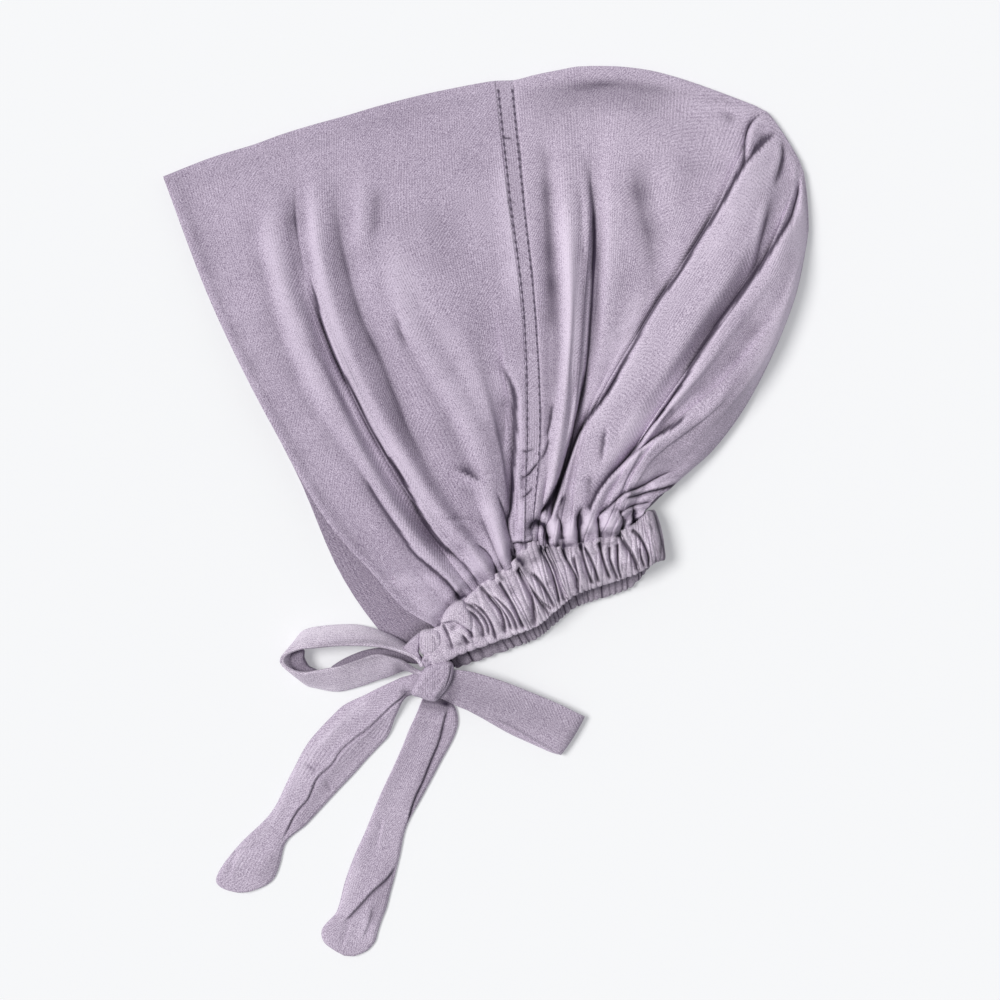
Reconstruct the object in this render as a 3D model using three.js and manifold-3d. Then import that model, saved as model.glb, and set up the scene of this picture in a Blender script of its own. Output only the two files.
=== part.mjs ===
// A hijab underscarf cap in soft jersey, lying on its side on a surface: a cap of two layers joined over the
// crown, a double-stitched seam, a gathered neck casing and ties in a bow. Millimetres, +Z up.
import * as THREE from 'three';
import Module from 'manifold-3d';

const wasm = await Module();
wasm.setup();

// Driving sizes
const capLength = 278.6; // tip of the face opening to the back of the head
const capDepth = 261.4; // crown to the lower front corner of the casing
const hollowHeight = 16; // the upper layer's middle above the lower layer
const clothThickness = 1.2;
const edgeRoll = 1.9; // radius of the fold over the crown and down the back
const pieceGap = 0.3;
const casingThickness = 3.6;
const casingSwell = 0.56; // its ruffles swell this share of the thickness either side of its middle
const casingRise = 11.8; // middle of the casing's upper half above the surface
const turnFlat = 0.6; // the casing's turn at the nape is this much flatter than round
const ruffleCount = 28; // ruffles along one half of the casing
const ruffleDepth = 0.9;
const lowerShow = 5.6; // the casing's lower half shows this far under the upper one
const faceShowX = 14; // the lower layer's face edge stands out this far at the neck
const faceShowY = 8;
const pleatReach = 3.2; // half the width of a pleat's turned cloth
const pleatRoom = 0.56; // most of the way to the next fold line that a pleat may take
const pleatTurn = 0.36; // its turned cloth spans this share of the step either side of the middle
const tieWidth = 15;
const tieThickness = 2;
const loopLeftLength = 62;
const loopRightLength = 66;
const tailLeftLength = 129;
const tailRightLength = 126;
const knotLength = 17.5;
const knotWidth = 12.5;
const knotHeight = 11;
const knotRise = 8.8; // middle of the knot above the surface

function table(columns, rows) {
  return rows.map((row) => Object.fromEntries(columns.map((name, i) => [name, row[i]])));
}

// Fold lines from the crown to the casing. x and y are shares of the cap's length and depth at a quarter, half
// and three quarters of the way (0 at the crown), z shares of the hollow's height, neck a share of the casing.
const ribs = table(
  ['name', 'x0', 'y0', 'x1', 'y1', 'x2', 'y2', 'x3', 'y3', 'neck', 'z1', 'z2', 'z3', 'z4'],
  [
    ['face_edge', 0.0, 0.184, 0.076, 0.393, 0.168, 0.59, 0.276, 0.781, 0.0, 0.34, 0.55, 0.55, 0.62],
    ['front_band', 0.074, 0.153, 0.125, 0.359, 0.213, 0.556, 0.315, 0.748, 0.045, 0.6, 0.72, 0.68, 0.66],
    ['first_ridge', 0.144, 0.13, 0.179, 0.326, 0.256, 0.523, 0.349, 0.717, 0.09, 0.8, 0.88, 0.86, 0.8],
    ['main_crease', 0.188, 0.113, 0.218, 0.317, 0.282, 0.51, 0.373, 0.692, 0.14, 0.76, 0.74, 0.68, 0.66],
    ['second_ridge', 0.231, 0.099, 0.247, 0.308, 0.306, 0.5, 0.398, 0.681, 0.195, 0.9, 0.94, 0.9, 0.84],
    ['second_crease', 0.282, 0.084, 0.282, 0.286, 0.343, 0.482, 0.423, 0.664, 0.24, 0.82, 0.78, 0.68, 0.64],
    ['third_ridge', 0.329, 0.069, 0.318, 0.268, 0.39, 0.451, 0.481, 0.62, 0.28, 0.92, 0.97, 0.9, 0.82],
    ['front_mid', 0.406, 0.048, 0.41, 0.243, 0.457, 0.434, 0.515, 0.618, 0.315, 0.94, 0.97, 0.86, 0.72],
    ['seam_crease', 0.475, 0.033, 0.492, 0.227, 0.517, 0.421, 0.545, 0.612, 0.35, 0.91, 0.9, 0.78, 0.66],
    ['seam_left', 0.515, 0.026, 0.534, 0.22, 0.556, 0.411, 0.562, 0.605, 0.378, 0.94, 0.98, 0.92, 0.8],
    ['seam_right', 0.542, 0.025, 0.559, 0.219, 0.577, 0.41, 0.585, 0.604, 0.422, 0.94, 0.98, 0.92, 0.8],
    ['soft_valley', 0.577, 0.016, 0.591, 0.207, 0.6, 0.4, 0.6, 0.599, 0.452, 0.88, 0.9, 0.84, 0.64],
    ['back_ridge', 0.614, 0.008, 0.623, 0.202, 0.628, 0.396, 0.616, 0.592, 0.482, 0.96, 1.02, 0.96, 0.84],
    ['back_crease', 0.653, 0.002, 0.66, 0.207, 0.65, 0.396, 0.633, 0.592, 0.512, 0.86, 0.84, 0.76, 0.66],
    ['back_slope', 0.715, 0.003, 0.694, 0.201, 0.685, 0.393, 0.642, 0.594, 0.542, 0.93, 0.9, 0.74, 0.8],
    ['back_mid', 0.799, 0.021, 0.781, 0.211, 0.731, 0.403, 0.651, 0.595, 0.575, 0.86, 0.8, 0.66, 0.66],
    ['flap_one', 0.926, 0.072, 0.855, 0.25, 0.756, 0.418, 0.66, 0.599, 0.61, 0.92, 0.94, 0.86, 0.8],
    ['flap_one_face', 0.961, 0.113, 0.91, 0.276, 0.815, 0.439, 0.71, 0.605, 0.655, 0.98, 1.06, 1.0, 0.84],
    ['flap_two', 0.988, 0.166, 0.932, 0.326, 0.838, 0.472, 0.739, 0.62, 0.7, 0.84, 0.88, 0.86, 0.76],
    ['flap_two_face', 0.997, 0.215, 0.952, 0.349, 0.855, 0.487, 0.745, 0.627, 0.735, 0.86, 0.9, 0.84, 0.66],
    ['flap_three', 0.998, 0.281, 0.96, 0.388, 0.864, 0.525, 0.753, 0.635, 0.75, 0.78, 0.86, 0.86, 0.8],
    ['nape_face', 0.977, 0.388, 0.931, 0.482, 0.855, 0.569, 0.755, 0.655, 0.775, 0.7, 0.84, 0.84, 0.84],
    ['nape_low', 0.912, 0.544, 0.869, 0.581, 0.818, 0.625, 0.753, 0.676, 0.8, 0.56, 0.72, 0.74, 0.68],
    ['nape_wedge', 0.852, 0.634, 0.823, 0.65, 0.79, 0.668, 0.75, 0.696, 0.825, 0.46, 0.56, 0.62, 0.66],
    ['nape_band', 0.815, 0.67, 0.799, 0.681, 0.779, 0.692, 0.753, 0.707, 0.84, 0.42, 0.54, 0.66, 0.72],
    ['nape_end', 0.789, 0.694, 0.782, 0.701, 0.772, 0.707, 0.761, 0.715, 0.95, 0.36, 0.44, 0.54, 0.6],
  ]
);

// Where a fold line is a pleat, the cloth steps up by this share of the hollow's height and laps back over
// itself by this share of the pleat's reach, between two shares of the way to the casing.
const pleats = table(
  ['rib', 'step', 'lap', 'from', 'full', 'fade'],
  [
    ['main_crease', 0.24, 0.35, 0.2, 0.45, 0.86],
    ['seam_crease', 0.2, 0.2, 0.42, 0.66, 0.86],
    ['back_crease', -0.16, 0.0, 0.12, 0.35, 0.8],
    ['flap_one', 0.28, 0.9, 0.02, 0.16, 0.84],
    ['flap_two', 0.26, 0.8, 0.04, 0.2, 0.84],
    ['flap_three', 0.2, 0.6, 0.3, 0.6, 0.84],
  ]
);

// The casing's upper half: matching points of its top and bottom edges, front to nape, as shares of the cap.
const casingEdges = table(
  ['topX', 'topY', 'lowX', 'lowY'],
  [
    [0.429, 0.923, 0.454, 0.974],
    [0.491, 0.857, 0.54, 0.941],
    [0.534, 0.826, 0.58, 0.924],
    [0.573, 0.785, 0.608, 0.9],
    [0.614, 0.794, 0.64, 0.873],
    [0.671, 0.78, 0.677, 0.859],
    [0.722, 0.76, 0.73, 0.84],
    [0.747, 0.737, 0.764, 0.819],
  ]
);

// The casing narrows to the tie and runs into the knot, as more points of its edges before the first.
const casingLead = table(
  ['topX', 'topY', 'lowX', 'lowY', 'drop'],
  [
    [0.406, 0.981, 0.428, 0.991, 0.2],
    [0.4, 0.954, 0.438, 0.984, 0.5],
    [0.412, 0.934, 0.447, 0.98, 0.8],
  ]
);

// The bow's strips, from the knot out. x, y are shares of the strip's length from the knot's middle, z and wide
// shares of the tie's width, facing the plan angle across the strip and tilt how far it stands up, in degrees.
const stripColumns = ['x', 'y', 'z', 'wide', 'facing', 'tilt'];
const tailLeftRows = table(stripColumns, [
  [-0.035, -0.005, 0.473, 0.51, -74, 5],
  [-0.07, -0.02, 0.433, 0.548, -72, 7],
  [-0.097, -0.028, 0.367, 0.543, -65, 7],
  [-0.168, -0.085, 0.22, 0.937, -40, 2],
  [-0.238, -0.155, 0.1, 1.487, -34, 1],
  [-0.327, -0.25, 0.073, 1.515, -29, 0],
  [-0.405, -0.357, 0.073, 1.284, -24, 0],
  [-0.485, -0.472, 0.073, 1.036, -14, 0],
  [-0.567, -0.55, 0.073, 1.148, -3, 0],
  [-0.602, -0.613, 0.073, 1.409, -5, 0],
  [-0.628, -0.665, 0.073, 1.577, 1, 0],
  [-0.637, -0.694, 0.073, 1.319, 2, 0],
  [-0.638, -0.711, 0.073, 0.775, 3, 0],
  [-0.638, -0.718, 0.073, 0.316, 3, 0],
]);
const tailRightRows = table(stripColumns, [
  [0.003, -0.039, 0.213, 0.574, 3, 0],
  [0.015, -0.106, 0.093, 1.005, -3, 0],
  [-0.007, -0.193, 0.073, 1.321, 4, 0],
  [-0.056, -0.297, 0.073, 1.234, 3, 0],
  [-0.109, -0.403, 0.073, 1.147, 0, 0],
  [-0.159, -0.51, 0.073, 1.061, 2, 0],
  [-0.195, -0.618, 0.073, 1.205, -3, 0],
  [-0.225, -0.717, 0.073, 1.267, -5, 0],
  [-0.249, -0.804, 0.073, 1.264, -4, 0],
  [-0.287, -0.872, 0.073, 1.493, -3, 0],
  [-0.29, -0.911, 0.073, 1.32, -2, 0],
  [-0.287, -0.939, 0.073, 0.804, -3, 0],
  [-0.288, -0.953, 0.073, 0.316, -3, 0],
]);
const loopRightRows = table(stripColumns, [
  [0.062, -0.02, 0.7, 0.82, -100, 0],
  [0.208, -0.062, 0.633, 0.99, -107, 0],
  [0.381, -0.121, 0.52, 1.06, -117, 0],
  [0.573, -0.199, 0.413, 1.08, -119, 0],
  [0.749, -0.287, 0.347, 1.18, -119, 0],
  [0.873, -0.352, 0.32, 1.21, -121, 0],
  [0.909, -0.371, 0.2, 1.22, -122, 0],
  [0.87, -0.365, 0.08, 1.22, -121, 0],
  [0.743, -0.313, 0.08, 1.21, -121, 0],
  [0.567, -0.238, 0.12, 1.16, -120, 0],
  [0.378, -0.147, 0.227, 1.03, -120, 0],
  [0.208, -0.075, 0.347, 0.88, -109, 0],
  [0.075, -0.029, 0.413, 0.73, -101, 0],
]);
const loopLeftRows = table(stripColumns, [
  [-0.1, 0.155, 0.6, 0.6, 100, 80],
  [-0.208, 0.222, 0.587, 0.62, 95, 68],
  [-0.347, 0.274, 0.523, 0.72, 85, 60],
  [-0.576, 0.305, 0.453, 0.86, 90, 53],
  [-0.791, 0.291, 0.427, 0.86, 93, 53],
  [-0.922, 0.264, 0.42, 0.81, 84, 58],
  [-0.992, 0.2, 0.417, 0.76, 39, 64],
  [-1.005, 0.13, 0.417, 0.76, 0, 64],
  [-0.961, 0.041, 0.417, 0.76, -45, 62],
  [-0.86, -0.003, 0.417, 0.79, -80, 57],
  [-0.68, 0.0, 0.427, 0.97, -90, 45],
  [-0.517, 0.042, 0.453, 1.0, -80, 44],
  [-0.357, 0.094, 0.54, 0.95, -76, 44],
  [-0.229, 0.1, 0.617, 0.72, -80, 60],
  [-0.118, 0.055, 0.62, 0.5, -88, 80],
]);

// The knot's middle as a share of the cap, and its own turn in plan.
const knotPlace = { x: 0.418, y: 1.013 };
const knotTurn = -122;

const levels = [0, 0.25, 0.5, 0.75, 1];
const lerp = THREE.MathUtils.lerp;
const clamp = THREE.MathUtils.clamp;

function smooth(low, high, value) {
  return THREE.MathUtils.smoothstep(value, low, high);
}

// A smooth curve through values at rising places that never swings past them.
function through(places, values, at) {
  const last = places.length - 1;
  let i = 0;
  while (i < last - 1 && at > places[i + 1]) i += 1;
  const slopeOf = (k) => (values[k + 1] - values[k]) / (places[k + 1] - places[k]);
  const tangent = (k) => {
    if (k === 0) return slopeOf(0);
    if (k === last) return slopeOf(last - 1);
    const before = slopeOf(k - 1);
    const after = slopeOf(k);
    if (before * after <= 0) return 0;
    const size = Math.min(Math.abs(before + after) / 2, 3 * Math.abs(before), 3 * Math.abs(after));
    return Math.sign(before) * size;
  };
  const width = places[i + 1] - places[i];
  const u = clamp((at - places[i]) / width, 0, 1);
  const a = values[i];
  const b = values[i + 1];
  const m = tangent(i) * width;
  const n = tangent(i + 1) * width;
  return a + u * m + u * u * (3 * (b - a) - 2 * m - n) + u * u * u * (2 * (a - b) + m + n);
}

const casingPlaces = casingEdges.map((row, i) => i / (casingEdges.length - 1));

const casingLow = casingThickness * casingSwell; // middle of the casing's lower half above the surface

function casingPoint(edge, share) {
  const x = through(casingPlaces, casingEdges.map((row) => row[`${edge}X`]), share);
  const y = through(casingPlaces, casingEdges.map((row) => row[`${edge}Y`]), share);
  return new THREE.Vector2(x * capLength, -y * capDepth);
}

// The panels stop short of the casing by the gap and the ruffles' bulge.
function neckPoint(share) {
  const top = casingPoint('top', share);
  const away = top.clone().sub(casingPoint('low', share)).normalize();
  return top.addScaledVector(away, pieceGap + ruffleDepth + clothThickness / 2);
}

const ribHeightNames = ['z1', 'z2', 'z3', 'z4'];

// A fold line's levels in millimetres, crown to casing.
function ribLevels(rib) {
  const x = [0, 1, 2, 3].map((i) => rib[`x${i}`] * capLength);
  const y = [0, 1, 2, 3].map((i) => -rib[`y${i}`] * capDepth);
  const neck = neckPoint(rib.neck);
  const heights = ribHeightNames.map((name) => clothThickness + rib[name] * hollowHeight);
  return { x: [...x, neck.x], y: [...y, neck.y], z: [clothThickness / 2 + 2 * edgeRoll, ...heights] };
}

const ribLines = ribs.map((rib) => ({ ...ribLevels(rib), name: rib.name }));

function ribPoint(line, t) {
  const [x, y, z] = ['x', 'y', 'z'].map((axis) => through(levels, line[axis], t));
  return new THREE.Vector3(x, y, z);
}

// The fold lines' points at one share t of the way. Each pleat gives four: before, under, over and after.
function rowPoints(t, folded) {
  const plain = ribLines.map((line) => ribPoint(line, t));
  const points = [];
  plain.forEach((point, i) => {
    const pleat = pleats.find((row) => row.rib === ribs[i].name);
    if (!pleat) {
      points.push(point);
      return;
    }
    const across = plain[i + 1].clone().sub(plain[i - 1]).setZ(0).normalize();
    const room = Math.min(plain[i + 1].distanceTo(point), point.distanceTo(plain[i - 1]));
    const reach = Math.min(pleatReach, room * pleatRoom);
    const open = folded * smooth(pleat.from, pleat.full, t) * (1 - smooth(pleat.fade, 1.02, t));
    const lap = lerp(-1 / 3, pleat.lap / 2, open);
    const step = pleat.step * hollowHeight * open * (reach / pleatReach);
    const turns = [[-1, -0.5], [lap, -pleatTurn], [-lap, pleatTurn], [1, 0.5]];
    for (const [along, up] of turns) {
      points.push(point.clone().addScaledVector(across, along * reach).add(new THREE.Vector3(0, 0, up * step)));
    }
  });
  return points;
}

// Places of the fold lines along the cloth, measured across it near the crown and at mid depth.
const crownRow = rowPoints(0.1, 1);
const middleRow = rowPoints(0.45, 1);
const ribPlaces = [0];
for (let i = 1; i < middleRow.length; i += 1) {
  const span = middleRow[i].distanceTo(middleRow[i - 1]) + crownRow[i].distanceTo(crownRow[i - 1]);
  ribPlaces.push(ribPlaces[i - 1] + span / 2);
}

const ribIndex = {};
let nextIndex = 0;
for (const rib of ribs) {
  ribIndex[rib.name] = nextIndex;
  nextIndex += pleats.some((row) => row.rib === rib.name) ? 4 : 1;
}

function layerPoint(place, t, folded) {
  const points = rowPoints(t, folded);
  const [x, y, z] = ['x', 'y', 'z'].map((axis) => through(ribPlaces, points.map((p) => p[axis]), place));
  return new THREE.Vector3(x, y, z);
}

const lastPlace = ribPlaces[ribPlaces.length - 1];

// The lower layer lies flat. At the face it follows the upper one, set out past its edge; behind the seam it
// runs straight from the crown to the casing.
function lowerPoint(place, t) {
  const share = place / lastPlace;
  const crown = layerPoint(place, 0, 0);
  const neckShare = lerp(share, 1, smooth(0.4, 0.9, share));
  const neck = neckPoint(neckShare);
  const point = layerPoint(place, t, 0);
  const straight = crown.lerp(new THREE.Vector3(neck.x, neck.y, 0), t);
  point.lerp(straight, smooth(0.15, 0.5, share));
  const out = smooth(0.58, 1.03, t) * (1 - smooth(0, 0.3, share)) * 1.15;
  point.x -= faceShowX * out;
  point.y -= faceShowY * out + lowerShow * t * t * (1 - smooth(0.65, 1, neckShare));
  point.z = lerp(clothThickness / 2, casingLow, smooth(0.8, 1, t));
  return point;
}

// One column of the cloth from the lower casing edge, round the crown fold, to the upper casing edge.
function clothColumn(place, upperRows, lowerRows, rollRows) {
  const outline = layerPoint(place, 0, 1);
  const inner = layerPoint(place, 0.08, 1);
  let length = 0;
  for (let i = 1; i <= 8; i += 1) {
    length += layerPoint(place, i / 8, 0).setZ(0).distanceTo(layerPoint(place, (i - 1) / 8, 0).setZ(0));
  }
  const start = Math.min(edgeRoll / length, 0.5);
  const column = [];
  for (let i = lowerRows; i > 0; i -= 1) {
    column.push(lowerPoint(place, lerp(start, 1, i / lowerRows)));
  }
  const inward = inner.sub(outline).setZ(0).normalize();
  const centre = clothThickness / 2 + edgeRoll;
  for (let i = 0; i <= rollRows; i += 1) {
    const angle = lerp(-Math.PI / 2, Math.PI / 2, i / rollRows);
    const point = outline.clone().addScaledVector(inward, edgeRoll * (1 - Math.cos(angle)));
    column.push(point.setZ(centre + edgeRoll * Math.sin(angle)));
  }
  for (let i = 1; i <= upperRows; i += 1) {
    column.push(layerPoint(place, lerp(start, 1, i / upperRows), 1));
  }
  return column;
}

function subtract(a, b) {
  return new THREE.Vector3().subVectors(a, b);
}

function solidFrom(positions, indices) {
  let volume = 0;
  for (let i = 0; i < indices.length; i += 3) {
    const [a, b, c] = [positions[indices[i]], positions[indices[i + 1]], positions[indices[i + 2]]];
    volume += a.dot(b.clone().cross(c));
  }
  const faces = volume < 0 ? indices.slice().reverse() : indices;
  const geometry = new THREE.BufferGeometry();
  geometry.setAttribute('position', new THREE.Float32BufferAttribute(positions.flatMap((p) => p.toArray()), 3));
  geometry.setIndex(faces);
  return geometry;
}

// The way that each point of the cloth faces, from its neighbours. The lower layer is flat.
function gridNormals(grid) {
  const columns = grid.length;
  const rows = grid[0].length;
  return grid.map((column, i) => column.map((point, j) => {
    if (j < lowerRows) return new THREE.Vector3(0, 0, 1);
    const alongColumns = subtract(grid[Math.min(i + 1, columns - 1)][j], grid[Math.max(i - 1, 0)][j]);
    const alongRows = subtract(column[Math.min(j + 1, rows - 1)], column[Math.max(j - 1, 0)]);
    return alongColumns.cross(alongRows).normalize();
  }));
}

// Close to the casing the gathers are tighter than the wall is thick, so there it faces their mean way.
function easedNormals(normals) {
  let eased = normals;
  for (let pass = 0; pass < easePasses; pass += 1) {
    eased = eased.map((column, i) => column.map((normal, j) => {
      if (j < column.length - easedRows) return normal;
      const before = eased[Math.max(i - 1, 0)][j];
      const after = eased[Math.min(i + 1, eased.length - 1)][j];
      return normal.clone().multiplyScalar(2).add(before).add(after).normalize();
    }));
  }
  return eased;
}

// A closed wall of even thickness round a grid of middle points, grid[column][row].
function wallFrom(grid, normals, thickness) {
  const columns = grid.length;
  const rows = grid[0].length;
  const positions = [];
  for (const side of [1, -1]) {
    for (let i = 0; i < columns; i += 1) {
      for (let j = 0; j < rows; j += 1) {
        positions.push(grid[i][j].clone().addScaledVector(normals[i][j], side * thickness / 2));
      }
    }
  }
  const at = (side, i, j) => side * columns * rows + i * rows + j;
  const indices = [];
  const quad = (a, b, c, d) => indices.push(a, b, c, a, c, d);
  for (let i = 0; i < columns - 1; i += 1) {
    for (let j = 0; j < rows - 1; j += 1) {
      quad(at(0, i, j), at(0, i + 1, j), at(0, i + 1, j + 1), at(0, i, j + 1));
      quad(at(1, i, j), at(1, i, j + 1), at(1, i + 1, j + 1), at(1, i + 1, j));
    }
    quad(at(0, i, 0), at(1, i, 0), at(1, i + 1, 0), at(0, i + 1, 0));
    quad(at(0, i + 1, rows - 1), at(1, i + 1, rows - 1), at(1, i, rows - 1), at(0, i, rows - 1));
  }
  for (let j = 0; j < rows - 1; j += 1) {
    quad(at(0, 0, j + 1), at(1, 0, j + 1), at(1, 0, j), at(0, 0, j));
    quad(at(0, columns - 1, j), at(1, columns - 1, j), at(1, columns - 1, j + 1), at(0, columns - 1, j + 1));
  }
  return solidFrom(positions, indices);
}

// A closed body through rings of points, with flat ends.
function loftFrom(rings) {
  const size = rings[0].length;
  const positions = rings.flat();
  const indices = [];
  for (let i = 0; i < rings.length - 1; i += 1) {
    for (let j = 0; j < size; j += 1) {
      const k = (j + 1) % size;
      const [a, b, c, d] = [i * size + j, i * size + k, (i + 1) * size + k, (i + 1) * size + j];
      indices.push(a, b, c, a, c, d);
    }
  }
  const end = (rings.length - 1) * size;
  for (let j = 1; j < size - 1; j += 1) {
    indices.push(0, j + 1, j);
    indices.push(end, end + j, end + j + 1);
  }
  return solidFrom(positions, indices);
}

// Column places between two fold lines: at most spacing apart, and always some inside a pleat's turns.
const columnSpacing = 7.5;
const upperRows = 12;
const lowerRows = 5;
const rollRows = 3;
const easePasses = 4;
const easedRows = 5;

function columnPlaces(from, to) {
  const places = [from];
  for (let i = 1; i < ribPlaces.length; i += 1) {
    const low = Math.max(ribPlaces[i - 1], from);
    const high = Math.min(ribPlaces[i], to);
    if (high - low < 0.01) continue;
    const pieces = Math.max(high - low < 2.5 ? 1 : 2, Math.ceil((high - low) / columnSpacing));
    for (let k = 1; k <= pieces; k += 1) places.push(lerp(low, high, k / pieces));
  }
  return places;
}

const seamStart = ribPlaces[ribIndex.seam_left];
const seamEnd = ribPlaces[ribIndex.seam_right];
const frontPlaces = columnPlaces(0, seamStart);
const seamPlaces = columnPlaces(seamStart, seamEnd);
const backPlaces = columnPlaces(seamEnd, lastPlace);
const clothPlaces = [...frontPlaces, ...seamPlaces.slice(1), ...backPlaces.slice(1)];
const clothGrid = clothPlaces.map((place) => clothColumn(place, upperRows, lowerRows, rollRows));
const clothNormals = easedNormals(gridNormals(clothGrid));

// The cloth between two columns, drawn back from its neighbours by half the gap.
function clothPanel(first, last) {
  const grid = clothGrid.slice(first, last + 1).map((column) => column.map((point) => point.clone()));
  const normals = clothNormals.slice(first, last + 1);
  const drawBack = (edge, inside) => grid[edge].forEach((point, j) => {
    const way = subtract(grid[inside][j], point).normalize();
    point.addScaledVector(way, pieceGap / 2);
  });
  const end = last - first;
  if (first > 0) drawBack(0, 1);
  if (last < clothGrid.length - 1) drawBack(end, end - 1);
  return wallFrom(grid, normals, clothThickness);
}

const seamFirst = frontPlaces.length - 1;
const seamLast = seamFirst + seamPlaces.length - 1;

function frontPanel() {
  return clothPanel(0, seamFirst);
}

function crownSeam() {
  return clothPanel(seamFirst, seamLast);
}

function backPanel() {
  return clothPanel(seamLast, clothGrid.length - 1);
}

// The casing's section: a padded strip between its top and bottom edges, eight points round.
const casingSection = table(
  ['across', 'up'],
  [[0, -0.3], [0, 0.3], [0.2, 0.5], [0.5, casingSwell], [0.8, 0.5], [1, 0.3], [1, -0.3], [0.5, -0.5]]
);

function casingRing(top, low, normal, puff) {
  const across = low.clone().sub(top);
  const height = across.length();
  across.normalize();
  return casingSection.map(({ across: share, up }) => {
    const bulge = (share - 0.5) * 2 * ruffleDepth * puff;
    const thick = casingThickness * (up > 0 ? up - 0.2 * (1 - puff) : up);
    return top.clone().addScaledVector(across, share * height + bulge).addScaledVector(normal, thick);
  });
}

function neckCasing() {
  const rings = [];
  const stations = ruffleCount * 2;
  const puffOf = (i) => (i % 2 === 0 ? 1 : 0);
  const up = new THREE.Vector3(0, 0, 1);
  for (const row of casingLead) rings.push(leadRing(row, casingRise, up, 0));
  for (let i = 0; i <= stations; i += 1) {
    const share = i / stations;
    const edges = ['top', 'low'].map((edge) => casingPoint(edge, share));
    const [top, low] = edges.map((p) => new THREE.Vector3(p.x, p.y, casingRise));
    rings.push(casingRing(top, low, up, puffOf(i)));
  }
  const [top, low] = ['top', 'low'].map((edge) => casingPoint(edge, 1));
  const axis = new THREE.Vector3(low.x - top.x, low.y - top.y, 0).normalize();
  const outward = new THREE.Vector3(-axis.y, axis.x, 0);
  const radius = (casingRise - casingLow) / 2;
  const turns = 6;
  for (let i = 1; i < turns; i += 1) {
    const angle = Math.PI * i / turns;
    const shift = outward.clone().multiplyScalar(radius * turnFlat * Math.sin(angle));
    const height = casingLow + radius * (1 + Math.cos(angle));
    const normal = outward.clone().multiplyScalar(Math.sin(angle)).addScaledVector(up, Math.cos(angle));
    const ends = [top, low].map((p) => new THREE.Vector3(p.x, p.y, height).add(shift));
    rings.push(casingRing(ends[0], ends[1], normal, puffOf(i)));
  }
  const down = up.clone().negate();
  for (let i = stations / 2; i >= 0; i -= 1) {
    const share = i / (stations / 2);
    const drop = lowerShow * (1 - smooth(0.8, 1, share));
    const edges = ['top', 'low'].map((edge) => casingPoint(edge, share));
    const ends = edges.map((p) => new THREE.Vector3(p.x, p.y - drop, casingLow));
    rings.push(casingRing(ends[0], ends[1], down, puffOf(i)));
  }
  for (const row of casingLead.toReversed()) {
    rings.push(leadRing(row, casingLow, down, lowerShow * row.drop));
  }
  return loftFrom(rings);
}

function leadRing(row, height, normal, drop) {
  const top = new THREE.Vector3(row.topX * capLength, -row.topY * capDepth - drop, height);
  const low = new THREE.Vector3(row.lowX * capLength, -row.lowY * capDepth - drop, height);
  return casingRing(top, low, normal, 0);
}

// A strip's section: a flattened tube with one edge lapped over the other half along its length.
const stripSection = table(
  ['across', 'up'],
  [[-0.5, -0.28], [-0.5, 0.28], [-0.42, 0.5], [0.02, 0.5], [0.1, 0.22], [0.42, 0.4], [0.5, 0.2], [0.5, -0.28], [0, -0.5]]
);

const knotMiddle = new THREE.Vector3(knotPlace.x * capLength, -knotPlace.y * capDepth, 0);

function stripFrom(rows, length) {
  const middles = rows.map((row) => {
    const reach = new THREE.Vector3(row.x * length, row.y * length, row.z * tieWidth);
    return reach.add(knotMiddle);
  });
  const rings = rows.map((row, i) => {
    const facing = THREE.MathUtils.degToRad(row.facing);
    const tilt = THREE.MathUtils.degToRad(row.tilt);
    const flat = Math.cos(tilt);
    const across = new THREE.Vector3(flat * Math.cos(facing), flat * Math.sin(facing), -Math.sin(tilt));
    const along = subtract(middles[Math.min(i + 1, rows.length - 1)], middles[Math.max(i - 1, 0)]);
    const normal = across.clone().cross(along).normalize();
    return stripSection.map(({ across: share, up }) => middles[i].clone()
      .addScaledVector(across, share * row.wide * tieWidth)
      .addScaledVector(normal, -up * tieThickness));
  });
  return loftFrom(rings);
}

// The knot: a band wrapped round the crossing strips, fuller in the middle, with a crease between its wraps.
const knotProfile = table(
  ['along', 'full'],
  [[-0.5, 0.55], [-0.42, 0.82], [-0.2, 0.98], [0, 1], [0.2, 0.98], [0.42, 0.82], [0.5, 0.55]]
);
const knotSection = table(
  ['across', 'up'],
  [[-0.5, 0], [-0.42, 0.34], [-0.16, 0.5], [-0.04, 0.42], [0.1, 0.5], [0.4, 0.36], [0.5, 0], [0.38, -0.36], [0, -0.5], [-0.38, -0.36]]
);

function knotBody(extra) {
  const turn = THREE.MathUtils.degToRad(knotTurn);
  const along = new THREE.Vector3(Math.cos(turn), Math.sin(turn), 0);
  const across = new THREE.Vector3(-along.y, along.x, 0);
  const rings = knotProfile.map(({ along: share, full }) => knotSection.map((point) => {
    const middle = knotMiddle.clone().setZ(knotRise).addScaledVector(along, share * (knotLength + 2 * extra));
    return middle
      .addScaledVector(across, point.across * full * (knotWidth + 2 * extra))
      .add(new THREE.Vector3(0, 0, point.up * full * (knotHeight + 2 * extra)));
  }));
  return loftFrom(rings);
}

function manifoldFrom(geometry) {
  const vertProperties = new Float32Array(geometry.getAttribute('position').array);
  const triVerts = new Uint32Array(geometry.getIndex().array);
  return new wasm.Manifold(new wasm.Mesh({ numProp: 3, vertProperties, triVerts }));
}

function geometryFrom(manifold) {
  const mesh = manifold.getMesh();
  const geometry = new THREE.BufferGeometry();
  geometry.setAttribute('position', new THREE.BufferAttribute(mesh.vertProperties, 3));
  geometry.setIndex(new THREE.BufferAttribute(mesh.triVerts, 1));
  return geometry;
}

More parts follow.
